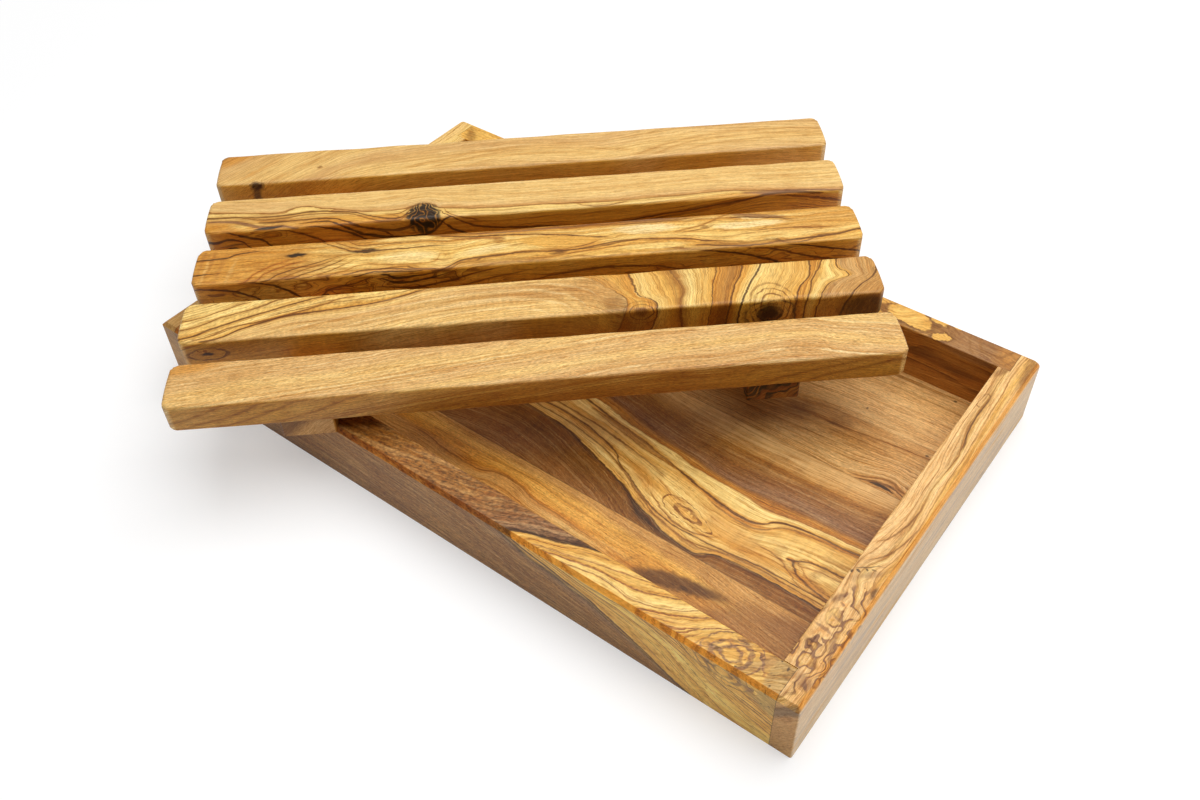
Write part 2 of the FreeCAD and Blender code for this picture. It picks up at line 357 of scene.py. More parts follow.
    def drawFigure(self, figure, lines, count, shift):
        for order, wild in enumerate(figure["wild"]):
            place = self.stretched(wild["length"], wild["width"], "wild", shift + 7 * order)
            swing = self.noise(place, wild.get("detail", 1.0))
            force = wild["force"]
            if "spot" in wild:
                force = self.step(self.radius(*wild["spot"]), 1.25, 0.6, 0.0, force)
            count = count + swing.swing(force)
        veinCount = count
        for eye, radius in self.eyes:
            if "push" in eye:
                veinCount = veinCount + self.step(radius, 0.0, eye["halo"], eye["push"], 0.0)
        tones = toneStops(figure["tones"])
        lowest = tones[0][0]
        reach = tones[-1][0] - lowest
        stops = [((at - lowest) / reach, oliveTones[tone]) for at, tone in tones]
        drift = self.noise(self.stretched(55.0, 11.0, "drift", shift), 2.0)
        place = (count - lowest) / reach + drift.swing(figure["drift"] / reach)
        colour = self.node("ValToRGB", {"stops": stops}, {0: place})
        for order, veins in enumerate(marks(figure["veins"], usualVeins)):
            colour = self.addVeins(colour, veinCount, veins, shift + 3 * order)
        for apart, thick, tone in lines:
            edge = self.step(apart, thick + 0.35, thick - 0.15) * 0.9
            for wild in figure["wild"]:
                edge = edge * (self.step(self.radius(*wild["spot"]), 0.6, 1.1) if "spot" in wild else 1.0)
            colour = self.mix(edge, colour, oliveTones[tone])
        return colour

    def addVeins(self, colour, count, veins, shift):
        seed = self.seed + shift
        jitter = self.node("TexNoise", {"noise_dimensions": "1D"}, {
            "W": count * 1.1 + seed, "Scale": 1.0, "Detail": 1.0, "Roughness": 0.5})
        tide = count * veins["lines"] + jitter * veins["jitter"]
        boldness = self.node("TexWhiteNoise", {"noise_dimensions": "1D"}, {
            "W": self.math("FLOOR", tide) + seed})
        tide = self.math("FRACT", tide)
        force = self.levels(veins["places"], count)
        fade = self.step(self.noise(self.stretched(30.0, 9.0, "fade", shift), 1.0), 0.34, 0.62, 0.15, 1.0)
        force = (boldness * veins["odd"] + (1 - veins["odd"])) * fade * force
        if veins["broken"]:
            gaps = self.noise(self.stretched(veins["broken"], veins["broken"] * 0.7, "gap", shift), 1.0)
            force = self.step(gaps, 0.42, 0.56) * force
        if veins["spot"]:
            force = self.step(self.radius(*veins["spot"]), 1.2, 0.75) * force
        wash = self.step(tide, 0.1, 1.0) * force * veins["wash"]
        colour = self.mix(wash, colour, self.grain["washTint"], "MULTIPLY")
        line = self.step(tide, 1 - veins["width"], 1 - veins["width"] * 0.45)
        return self.mix(line * force, colour, oliveTones[veins["tone"]])

    def levels(self, levels, count):
        if len(levels) == 1:
            return levels[0][0]
        lowest = levels[0][0]
        reach = levels[-1][0] - lowest
        points = [((at - lowest) / reach, level, "VECTOR") for at, level in levels]
        return self.node("FloatCurve", {"points": (points, "HORIZONTAL")}, {
            "Value": (count - lowest) / reach})

    def addStain(self, colour, stain):
        soft = stain["soft"]
        radius = self.radius(*stain["places"], stain["turn"])
        cover = self.step(radius, 1 + soft, 1 - soft, 0.0, stain["force"])
        return self.mix(cover, colour, oliveTones[stain["tone"]])

    def addStroke(self, colour, stroke):
        path = stroke["places"]
        path = [(path[0][0] - 3, path[0][1], 0.0), *path, (path[-1][0] + 3, path[-1][1], 0.0)]
        middle = self.curve([(a, w) for a, w, thick in path], extend="HORIZONTAL")
        width = self.curve([(a, self.low + thick) for a, w, thick in path], "VECTOR", extend="HORIZONTAL")
        span = self.high - self.low
        apart = (abs(self.foldUnit - middle) - width) * span
        cover = self.step(apart, stroke["soft"], -0.25, 0.0, stroke["force"])
        edge = self.step(apart, 2.2, 0.2, 0.0, stroke["wash"])
        edge = edge * self.step(width * span, 0.0, 0.3)
        colour = self.mix(edge, colour, self.grain["washTint"], "MULTIPLY")
        return self.mix(cover * self.step(width * span, 0.0, 0.3), colour, oliveTones[stroke["tone"]])

    def addEye(self, colour, eye, radius):
        uneven = self.node("TexNoise", {"noise_dimensions": "1D"}, {
            "W": radius * 2.6 + eye["spot"][0][0], "Scale": 1.0})
        line = self.math("PINGPONG", radius * eye["lines"] + uneven.swing(1.6), 0.5)
        broken = self.step(self.noise(self.stretched(9.0, 4.0, "broken"), 1.0), 0.36, 0.56)
        inside = self.step(radius, 1.1, 0.85, 0.0, eye["force"]) * (0.5 + broken * 0.5)
        colour = self.mix(self.step(line, 0.24, 0.08) * inside, colour, oliveTones[eye["tone"]])
        core = eye["core"]
        colour = self.mix(self.step(radius, core * 1.5, core * 0.7), colour, oliveTones[eye["coreTone"]])
        if "cracks" in eye:
            along, fold, many = eye["cracks"]
            x, y = self.axes(self.sheetSpot, 2)
            swing = self.noise(self.stretched(7.0, 9.0, "crack"), 1.0)
            split = self.math("ARCTAN2", x - along, fold - y) * many + swing * 5.0
            split = self.math("PINGPONG", split, 0.5)
            near = self.step(radius, 1.15, 0.85)
            colour = self.mix(self.step(split, 0.40, 0.28) * near * 0.92, colour, oliveTones["char"])
            colour = self.mix(self.step(split, 0.44, 0.49) * near * 0.6, colour, oliveTones["amber"])
        return colour

    def strands(self, name, depth, seed, detail, roughness=0.5):
        length, width = self.grain[name + "Length"], self.grain[name + "Width"]
        place = self.vector(self.along / length, self.flow / width, self.down / (width * depth) + seed)
        return self.noise(place, detail, roughness)

    def finishBoard(self, colour):
        grain = self.grain
        fibre = self.strands("fibre", 3, self.seed, 2.0, 0.6)
        hair = self.strands("hair", 3, self.seed, 1.0)
        fleck = self.strands("fleck", 1, self.seed * 1.3, 2.0, 0.6)
        curl = self.noise(self.stretched(grain["curlLength"], grain["curlWidth"], "curl"), 2.0)
        dark = self.step(hair, *grain["hairEdges"])
        strand = self.step(fibre, *grain["fibreEdges"], 0.0, grain["fibre"])
        colour = self.mix(strand, colour, grain["fibreTint"], "MULTIPLY")
        colour = self.mix(dark * grain["hair"], colour, grain["hairTint"], "MULTIPLY")
        pale = self.step(fibre, 0.50, 0.30) * 0.6 + self.step(hair, 0.44, 0.28) * 0.4
        colour = self.mix(pale * grain["pale"], colour, grain["paleTint"], "SCREEN")
        colour = self.paintSideShadingAndSeams(colour)
        if "paintedOuterSheen" in grain:
            colour = self.paintOuterSheen(colour)
        colour = self.darkenEnds(colour)
        force = grain["fleck"]
        if "calm" in grain:
            bright = self.node("RGBToBW", None, {0: colour})
            force = self.step(bright, *grain["calmTones"], force, force * grain["calm"])
        lift = grain["light"] + fleck.swing(force) + (0.5 - fibre) * grain["fibreLight"] \
            + (0.5 - hair) * grain["hairLight"] + curl.swing(4 * grain["curl"])
        colour = self.node("VectorMath", {"operation": "SCALE"}, {0: colour, "Scale": lift})
        roughness = grain["roughness"] + fibre.swing(grain["fibreRoughness"]) \
            + hair.swing(grain["hairRoughness"])
        height = fibre * grain["fibreRelief"] + dark * grain["hairRelief"]
        normal = self.node("Bump", None, {"Height": height, "Distance": grain["relief"] * mm,
                                          "Strength": grain["reliefStrength"]})
        self.close(colour, roughness, normal, grain["specular"])

    # Painted light and shade on the long faces: the side tint multiplies them, darker where it is below one
    # and lighter where it is above one. Seams are dark joints.
    def paintSideShadingAndSeams(self, colour):
        grain = self.grain
        half = self.span["half"].y / mm
        start, end = grain["sideEdges"]
        # the side mask: where the painted side shade is laid
        side = self.step(abs(self.across), half - start, half - end)
        colour = self.mix(side * grain["side"], colour, grain["sidePaintedShading"], "MULTIPLY")
        # painted sheen screened over the long faces
        colour = self.mix(side * grain["sidePaintedSheen"], colour, grain["paintedSheenTint"], "SCREEN")
        if "outer" in grain:
            # painted shade on the top outer bevel
            start, end = grain["rimEdges"]
            rim = self.step(self.across * grain["outer"], half - start, half - end)
            rim = rim * self.step(self.down, *grain["rimDepths"])
            if "rimVeil" in grain:
                veil = rim * self.step(self.along, *grain["rimVeil"])
                colour = self.mix(veil, colour, oliveTones["gold"])
            colour = self.mix(rim * grain["rim"], colour, grain["rimPaintedShade"], "MULTIPLY")
        if "seam" in grain:
            edge = self.span["half"].x / mm - abs(self.along)
            if "planks" in grain:
                edge = edge.upTo(half - abs(self.across))
            seam = self.step(edge, *grain["seamEdges"]) * grain["seam"]
            colour = self.mix(seam, colour, oliveTones["bark"])
        return colour

    # A painted sheen: the outer face of the right end board is streaked with pale ash and linen tones,
    # standing for the reflection of the white surroundings at a grazing angle.
    def paintOuterSheen(self, colour):
        half = self.span["half"].y / mm
        outer = self.step(self.across * -1.0, half - 0.7, half - 0.1)
        streak = self.noise(self.stretched(60.0, 3.2, "streak"), 3.0, 0.6)
        streak = self.step(streak, 0.40, 0.62, 1.0, 0.72)
        band = self.noise(self.stretched(80.0, 6.0, "band"), 2.0, 0.6)
        tones = toneStops("0.36 ash, 0.46 linen, 0.56 linen, 0.66 fawn")
        sheenTones = self.node("ValToRGB", {"stops": [(at, oliveTones[tone]) for at, tone in tones]}, {0: band})
        return self.mix(outer * streak * self.grain["paintedOuterSheen"], colour, sheenTones)

    def darkenEnds(self, colour):
        turn = self.span["turn"]
        facing = self.node("VectorMath", {"operation": "DOT_PRODUCT"}, {
            0: self.node("TexCoord", out=1), 1: (math.cos(turn), math.sin(turn), 0)}, out=1)
        end = self.step(abs(facing), *self.grain["endFacing"], 0.0, self.grain["end"])
        return self.mix(end, colour, self.grain["endTint"], "MULTIPLY")


def spanOf(node, turn=0.0):
    unturn = Matrix.Rotation(-turn, 3, "Z")
    points = [unturn @ corner.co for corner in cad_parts[node].data.vertices]
    low = Vector(min(point[axis] for point in points) for axis in range(3))
    high = Vector(max(point[axis] for point in points) for axis in range(3))
    middle = (low + high) / 2
    top = unturn.transposed() @ Vector((middle.x, middle.y, high.z))
    return {"top": top, "turn": turn, "half": (high - low) / 2}


def dress(node, plan, seed, turn=0.0, shaped=None):
    wood = OliveWood("olive_" + node, spanOf(node, turn), plan, seed)
    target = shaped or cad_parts[node]
    target.data.materials.clear()
    target.data.materials.append(wood.material)
    print("dressed", node)


# Floor: three planks glued edge to edge

floorFront = {
    "sheet": (190, -30, 30), "fold": (1, 0.6, 0),
    "drift": 1.4,
    "rings": """
    -190 -10, -50 -6, 0 -7, 60 -9, 190 -14
    -190 4, -70 6, -50 8, -30 5, -10 5, 0 9, 10 10, 30 6, 60 5, 90 2, 140 0, 190 -8
    -190 15, -50 17, 0 17, 60 15, 110 13, 150 8, 190 4""",
    "tones": "-2 tan, 0 amber, .8 tan, 1.2 amber, 2 gold, 3 tan",
    "veins": "brown 1 3 .2 1: .5",
    "stains": """
    walnut .86 .35 16: 160 -2, 40 20
    brown .4 .5 9: 164 -10, 34 8
    toast .5 .6 10: 112 1, 22 6
    umber .95 .4 15: 112 5.5, 22 4.6
    umber .8 .6 8: 127 9.5, 11 3
    walnut .7 .5 4: 178 18, 16 5
    brown .4 .7 50: 50 -1, 8 1.2
    brown .4 .7 60: 62 0, 6 1
    brown .4 .7 55: 86 3, 7 1.3
    straw .3 .7 4: 60 3, 22 2.2
    bark .7 .5: 118 5, 2.4 1""",
    "strokes": """
    brown .8: -70 6 0, -50 8 .3, -30 5 .4, -10 5 .4, 0 9 .4, 10 10 .4, 30 6 .3, 60 5 .2, 90 2 0
    brown .6: -70 14 0, -30 15 .2, 10 16 .3, 60 14 .2, 100 14 0""",
    "grain": {"curl": 0.09, "side": 0, "seam": 0.6, "planks": True, "fleck": 1.5},
}

floorMiddle = {
    "sheet": (190, -60, 60), "fold": (1, 0.6, 0),
    "drift": 0.2,
    "rings": """
    -190 -30, -90 -25, -20 -11, 0 -13, 20 -17, 40 -22, 50 -25, 60 -29, 70 -34, 80 -37, 90 -40, 100 -42,
        108 -43, 114 -41, 119 -37, 130 -36, 150 -35, 190 -37
    -190 -24, -90 -18, -20 -6, 0 -5, 20 -8, 50 -13, 80 -20, 110 -28, 140 -27, 190 -27
    -190 -12, -90 -4, -20 3, 10 1, 40 -2, 80 -8, 110 -12, 125 -11, 140 -4, 190 2
    -190 4, -60 20, 0 15, 12 12.5, 30 9.5, 50 6.5, 70 4.5, 90 2.7, 110 2, 130 1.7, 150 3.5, 190 6.5
    -190 12, -60 27, 0 24, 20 18, 40 13, 70 9, 100 7, 130 8, 190 12
    -190 30, 0 34, 60 27, 120 27, 190 32""",
    "tones": ("-4 walnut, -2 brown, -.5 brown, -.08 umber, 0 umber, .03 gold, .5 straw, 1 gold, "
              "1.4 straw, 2 gold, 2.3 straw, 2.93 straw, 3 toast, 3.4 amber, 3.9 walnut, 4.15 plum, "
              "4.6 walnut, 5.1 toast, 5.6 tan, 7 fawn"),
    "wild": [{"length": 34, "width": 9, "force": 0.5}],
    "veins": """
    brown 1.6 3 .2 1: -4 .7, 0 .5, .1 .8, 2 .8, 2.25 .2, 2.9 .2, 3 .8, 3.2 .9, 4.1 .5, 7 .5
    umber 2.4 2 .12 .3: -4 .3, 0 .3, .1 .6, 1.5 .6, 2.2 .1, 2.9 .1, 3.1 .4, 7 .2""",
    "eyes": [
        {"spot": ((95, -25), (21, 6.4)), "turn": -13, "taper": 0.6, "push": 2.4, "lines": 2.6, "force": 1,
         "core": 0.12, "coreTone": "gold", "tone": "brown"},
        {"spot": ((190, -21.5), (40, 8.5)), "push": 1.2, "lines": 1, "force": 0.5, "core": 0.01,
         "tone": "brown"},
    ],
    "stains": """
    amber .6 .5 -12: 122 -24, 22 7
    amber .6 .5 -30: 62 -17, 11 4
    bark .24 .8 -10: 30 -30, 60 6
    gold .5 .6 -14: 84 -33, 14 1.6
    bark .6 .6 -26: 73 -37, 8 2.4
    bark .6 .5 -4: 92 -42, 14 1.6
    brown .5 .8 -8: 54 25, 40 13""",
    "strokes": """
    bark .8 .35 .1: -30 -12 .1, 0 -14 .2, 20 -17 .25, 40 -22 .3, 50 -25 .35, 60 -29 .4, 70 -34 .7,
        80 -37 .5, 90 -40 .4, 100 -42 .3, 110 -43 .5, 114 -40 .5, 122 -37 .3, 150 -35.5 .3, 189 -37 .2
    umber .95 .45 .9: -20 12 .4, 10 9.5 .5, 30 5.5 .6, 55 1.5 .6, 75 -3 .5, 90 -7 .5, 105 -10 .6,
        120 -11 .7, 127 -9 .6, 133 -3.5 .6, 145 -.5 .5, 175 2.5 .4, 189 4 .3
    brown .85: 90 -9 0, 105 -12.5 .3, 121 -13.5 .4, 130 -11 .4, 137 -5 .4, 150 -2 .3, 189 2 .2
    toast .8 .8: 10 7 0, 25 4.5 1.4, 45 1.5 1.8, 62 -1 1.2, 75 -3 0
    brown: -20 -1 .3, 0 -1.5 .4, 20 -2.5 .4, 40 -4.5 .4, 60 -8 .3, 80 -12 0
    umber: -20 -5 .3, 0 -5 .5, 20 -6.5 .4, 32 -9 .5, 42 -12 .5, 48 -17 .5, 56 -21 .3, 64 -25 .4, 75 -30 .5,
        90 -34 .4, 110 -34 .3, 150 -31 .4, 189 -30 .3
    brown: -20 -8 .3, 0 -9 .4, 20 -11 .4, 40 -15 .4, 54 -21 .4, 70 -29 .5, 84 -35 .4, 100 -38 .3,
        125 -34 .4, 189 -33 .3
    brown .8: 124 -20 0, 138 -20.5 .3, 146 -22 .4, 152 -25.5 .3, 162 -30 .2
    umber .95 .45 .9: 150 -19.5 .6, 153 -18 .5, 158 -15.5 .4, 168 -13.8 .4, 189 -12.6 .4
    umber .95 .45 .9: 150 -19.5 .6, 153 -22 .6, 158 -25.5 .4, 170 -28.5 .4, 189 -29.6 .4
    toast: 155 -20 .3, 160 -18.5 .4, 170 -16.6 .3, 189 -15.6 .3
    toast: 155 -20 .3, 160 -23.5 .4, 170 -26 .3, 189 -27 .3
    bark .85: 60 -31 0, 68 -34 .6, 74 -38.5 1.2, 80 -39.5 .8, 88 -41 .3
    brown: 66 -22 0, 76 -25.5 .3, 84 -30 .4, 96 -33 .4, 110 -31 .3, 118 -27 0
    toast: 60 -12 0, 74 -16 .3, 84 -19 .3, 98 -18 0""",
    "grain": {"curl": 0.12, "curlLength": 4, "side": 0, "seam": 0.34, "planks": True, "pale": 0.3,
              "fleck": 1.7, "calm": 0.3},
}

floorBack = {
    "sheet": (190, -60, 60), "fold": (1, 0.6, 0),
    "ringStep": 8, "drift": 0.9,
    "rings": """
    -190 -46, 60 -44, 120 -45, 145 -44, 155 -41, 164 -38, 172 -40, 190 -46
    -190 -22, 40 -30, 80 -24, 120 -18, 190 -14
    -190 8, 60 2, 120 8, 190 10
    -190 44, 60 42, 120 44, 190 43""",
    "tones": "-1 tan, 0 fawn, .4 fawn, 1 tan, 1.6 fawn, 3 fawn, 4 honey",
    "veins": """
    toast 13 8 .34 .9: .8
    brown 4 4 .12 .2: .7""",
    "stains": """
    brown .5 .8 10: 84 -26, 40 18
    brown .55 .8 20: 124 -14, 8 4
    umber .5 .8: 104 -19, 7 5
    bark .8 .6 4: 124 -17.6, 5 .9
    bark .8 .4: 168 34, .9 .7
    bark .8 .4: 173 -10, .9 .8
    bark .7 .4: 132 3, .8 .7""",
    "strokes": """
    brown: 80 -18 0, 110 -17.5 .3, 124 -17.5 .4, 150 -14 .3, 189 -11 .2
    brown: 140 -43 0, 152 -41.5 .3, 158 -39 .4, 165 -37 .5, 172 -39 .5, 180 -42 .4, 189 -45 .2
    umber: 146 -44.5 0, 155 -42.5 .4, 161 -40.5 .5, 168 -40 .5, 175 -42.5 .4, 180 -44 0
    char: 156 -43 0, 160 -42.2 .9, 166 -42 1.1, 171 -43.2 0""",
    "grain": {"side": 0, "seam": 0.28, "planks": True, "fleck": 1.5},
}

dress("floor_plank_front", floorFront, 3.1)
dress("floor_plank_middle", floorMiddle, 8.4)
dress("floor_plank_back", floorBack, 12.7)


# Tray walls and end boards

frontWall = {
    "sheet": (200, -50, 30), "fold": (-0.7, 1, -5.95),    # over the rim and down the front
    "ringStep": 4, "drift": 0.3,
    "rings": """
    -200 -30, -60 -38, 0 -44, 90 -50, 200 -50
    -200 34, -60 17, 20 6, 42 .5, 50 -2.8, 60 -5.5, 70 -7.5, 80 -9.8, 92 -12.6, 100 -16, 120 -24, 140 -35,
        147 -38, 165 -46, 200 -49.6
    -200 38, -60 21, 20 10, 40 7, 55 1.5, 62 -2, 70 -3.9, 80 -5.3, 90 -7, 100 -8.6, 112 -10.5, 125 -15,
        140 -24, 150 -32, 170 -44, 200 -47
    -200 40, -60 23, 20 14, 50 9, 62 1, 70 -2.3, 85 -4.4, 95 -5.6, 105 -5.9, 115 -6.8, 125 -9.6, 135 -14,
        145 -21, 155 -28.5, 170 -37, 200 -42
    -200 42, -60 26, 20 18, 60 11, 68 1, 75 -1.2, 85 -2.6, 95 -3.6, 105 -3.4, 112 -2.8, 118 -3.6, 128 -5.4,
        140 -11, 155 -21.5, 165 -28, 190 -35, 200 -38
    -200 44, 20 22, 80 8, 95 1.5, 105 -.8, 115 -1, 122 -2.4, 130 -4.2, 140 -7.8, 152 -14, 165 -21, 180 -28,
        190 -31, 200 -34
    -200 46, 20 25, 100 10, 118 3, 128 -.6, 136 -1.6, 142 -4, 150 -8, 160 -12.5, 175 -19, 190 -24.5, 200 -27
    -200 48, 20 28, 120 12, 138 3, 148 -.5, 156 -3.5, 165 -7, 180 -13, 190 -17, 200 -19
    -200 50, 20 31, 140 14, 155 5, 165 1, 175 -2.5, 190 -8, 200 -11""",
    "ringLines": ("0 bark, .5 bark, .12 russet, .2 russet, .1 russet, .24 russet, .2 russet, .26 russet, "
                  ".18 russet"),
    "tones": ("-1 brown, 0 walnut, .6 brown, .8 walnut, .9 plum, .97 bark, 1.01 gold, 1.6 gold, 2.1 sun, "
              "2.9 gold, 3.2 sun, 4 straw, 4.6 sun, 5.1 gold, 6 sun, 7 gold, 8 sun, 9 gold"),
    "wild": [{"length": 10, "width": 8, "force": 4, "spot": ((166, -5), (15, 7))}],
    "veins": """
    russet 1.3 2 .2 .7 .4: -1 0, .95 0, 1.1 .95, 9 .95
    umber 16 8 .34 .9: -1 .4, .9 .4, 1 0, 9 0
    fawn 12 8 .34 0: -1 .2, .85 .26, .95 0, 9 0
    amber 5 5 .4 0: -1 .16, .2 .22, .85 .3, .95 0, 9 0
    plum .8 .4 .3 .9 .2 7: 1.2: 166 -5, 15 7""",
    "eyes": [
        {"spot": ((163.5, -4.6), (15, 8)), "turn": -8, "push": 1.6, "lines": 3.6, "force": 0.86,
         "tone": "plum", "coreTone": "gold"},
    ],
    "stains": """
    umber .9 .5 -4: 157 -3.6, 4.5 .8
    plum .6 .6 -40: 178 -8, 9 2.2
    brown .5 .6 40: 168 -4, 5 1.2
    moss .9 .14: 188 -6, 7.6 9
    brown .4 .7 30: 188 -9, 3 2
    bark .8 .5: 184 -2.5, .5 .4
    bark .8 .5: 186.5 -9.5, .6 .4
    bark .8 .5: 182.5 -10.6, .5 .4
    bark .8 .5: 168 -2.2, .6 .4""",
    "strokes": """
    umber .5: 14 -2 .2, 24 -8 .3, 36 -17 .3, 44 -24 .2
    umber .5: -140 -30 0, -60 -27 .5, -20 -32 .5, 10 -36 .2""",
    # painted light: the side tint above one lightens the front face, and the side veil screens a painted
    # sheen over it; rim paints shade on the top outer bevel, washed gold over part of its length
    "grain": {"sidePaintedShading": (1.13, 1.12, 0.88, 1), "sidePaintedSheen": 0.2, "pale": 0.34, "curl": 0.04, "outer": -1,
              "seam": 0.7, "ripple": 0.2, "rimPaintedShade": (0.9, 0.6, 0.27, 1), "rimVeil": (30, 70, 0, 0.4),
              "fleck": 2.8, "calm": 0.3, "fibre": 0.7, "hairLength": 7},
}

backWall = {
    "sheet": (200, -50, 20), "fold": (0.5, 1, 0),
    "ringStep": 4, "drift": 0.7,
    "rings": """
    -200 -46, -60 -44, 60 -47, 200 -46
    -200 -26, 0 -22, 100 -30, 200 -24
    -200 -9, 0 -6, 110 -10, 135 -6, 150 -4, 200 -10
    -200 1, 100 4, 120 0, 140 4, 160 1, 200 -1
    -200 12, 0 11, 200 12""",
    "tones": "-1 tan, 0 toast, 1 tan, 1.7 toast, 2.1 tan, 3 toast, 4 tan, 5 toast",
    "wild": [{"length": 50, "width": 8, "force": 1},
             {"length": 20, "width": 6, "force": 2.4, "spot": ((140, 0), (90, 8))}],
    "veins": "umber 1.3 3 .3 .8 .5: .9",
    "eyes": [
        {"spot": ((176, 5), (15, 11)), "lines": 3.4, "force": 0.75, "core": 0.01, "tone": "brown"},
    ],
    "stains": """
    plum .62 .16: 171 -1, 24 8
    amber .5 .8: 186 1, 7 6
    umber .95 .2 -5: 129 .2, 15.5 4.3
    umber .95 .2: 144 2.9, 6.4 2.2
    umber .95 .2 12: 150 -2.2, 6.2 2.5
    brown .6 .4 -8: 146 1, 12 4.4
    brown .7 .4 30: 116 1.6, 6 3
    gold .95 .07 -5: 129 .2, 13 3.3
    sun .6 .5 -5: 127 -.2, 9 2.2
    gold .95 .1: 144 2.9, 5 1.5
    gold .95 .1 12: 150 -2.2, 5 1.8
    gold .9 .2: 154 3.6, 3 .7
    gold .9 .2: 113 -3, 7 1.6
    gold 1 .3: -172 0, 30 6
    sun .5 .6 -12: -182 2, 14 5
    gold .8 .3 14: 114 3.5, 7 1.4
    brown .6 .6 -20: -180 -2.4, 9 1.4
    straw .6 .5 -20: -186 -4.5, 5 1
    toast .5 .5: -160 -14, 60 9""",
    # the side tint here paints shade on the wall's long faces
    "grain": {"ragged": 2.4, "raggedSize": 2.4, "sidePaintedShading": (1, 0.92, 0.7, 1), "seam": 0.7},
}

rightBoard = {
    "sheet": (130, -56, 20), "fold": (1, 1, 0),
    "ringStep": 3.5, "drift": 1.2,
    "rings": """
    -130 -52, 0 -50, 130 -54
    -130 -30, -40 -34, 40 -28, 130 -36
    -130 -10, -50 -9.5, 0 -8.5, 50 -8, 90 -7, 130 -9
    -130 -6, -60 -5, -45 -2, -30 -5, 0 -5, 30 -3.5, 60 -3, 90 -1, 110 -.5, 130 -4
    -130 -1, -60 1, -50 4, -35 -.5, -20 -2, 0 -1.5, 20 -.5, 40 -1, 55 1.5, 70 3, 85 3.8, 100 4.2, 130 1
    -130 3, -60 6, -45 7, -30 4, -10 1.5, 10 2, 25 2.6, 35 4.5, 60 6, 130 6
    -130 8, -60 12, -30 9, -10 5, 20 6, 60 9, 130 10""",
    "ringLines": "0 bark, 0 bark, 0 bark, .1 toast, .1 toast, .1 toast",
    "tones": "-1 honey, 1 fawn, 2 peach, 2.6 gold, 3.3 peach, 4 honey, 4.5 fawn, 5 peach, 6 peach, 7 fawn",
    "wild": [{"length": 10, "width": 8, "force": 9, "detail": 1.6, "spot": ((-88, 0), (34, 16))}],
    "veins": """
    toast 1.6 2.6 .26 .5 .6: .55
    umber .42 .3 .3 .9 .2 16: 1.1: -88 0, 34 16
    plum .6 .4 .36 .8 .2 13: 1.2: -88 0, 34 16""",
    "eyes": [
        {"spot": ((80, 5.2), (8.5, 3)), "push": 0.8, "lines": 1.6, "force": 1, "core": 0.01,
         "tone": "brown"},
    ],
    "stains": """
    plum .6 .5 60: -111 -3, 5 3
    plum .7 .5 20: -90 -5, 6 1.2
    plum .7 .5 80: -84 3, 5 .9
    plum .6 .5 70: -77 -1, 4 .8
    plum .7 .5 -20: -66 5, 4 1.3
    plum .5 .7 -40: -49 1, 7 1.6
    umber .8 .5: -56 -6, 3 1.3
    bark .9 .4: -50.5 6.8, .9 .6
    bark .9 .4: -48.8 4.9, .7 .8
    bark .8 .4: -46.6 2.6, .6 .8
    bark .7 .4: -44.6 .2, .6 .8
    slate .6 .5: -124 -9, 1.8 4
    brown .6 .6 -30: 104 6, 5 2
    brown .7 .6 4: 112 -6, 16 2.6""",
    "strokes": """
    bark .9 .45 .2: -50 7 0, -47 5 .25, -44 2 .25, -42 0 .2, -38 -4 0
    umber: 40 -1.6 0, 47 -.6 .3, 55 1.4 .35, 64 2.6 .3, 74 2.8 .3, 86 3.4 .2, 96 4.6 0
    brown: -45 6 0, -38 2 .3, -30 -2 .3, -20 -4.5 .3, -4 -5.5 0
    brown: -34 8 0, -26 3 .3, -16 0 .3, -4 -1.6 .3, 14 -1.4 0""",
    # a painted sheen is streaked over the outer face, and rim paints shade on the top outer bevel
    "grain": {"side": 0, "paintedOuterSheen": 0.72, "outer": -1, "rim": 0.8, "ripple": 0.24},
}

leftBoard = {
    **rightBoard,
    "fold": (-1, 1, 0),
    "ringLines": "",
    "tones": "-1 fawn, 0 tan, 1 fawn, 2.1 honey, 3 honey, 4 straw, 5 honey, 7 straw",
    "wild": [{"length": 40, "width": 12, "force": 1}],
    "veins": "brown 1.4 3 .2 1: .7",
    "eyes": [], "strokes": "", "stains": "walnut .7 .4: -114 0, 14 22",
    # the side tint paints shade on the long faces, and rim paints shade on the top outer bevel
    "grain": {"sidePaintedShading": (0.9, 0.82, 0.6, 1), "outer": 1, "rim": 0.6},
}

quarterTurn = math.radians(90)
dress("front_wall", frontWall, 21.3)
dress("back_wall", backWall, 27.9)
dress("right_end_board", rightBoard, 33.5, quarterTurn)
dress("left_end_board", leftBoard, 39.2, quarterTurn)


# Grate: slats, battens and dowels

grateTurn = math.radians(41.87)

slatSheet = (185, -36, 20)

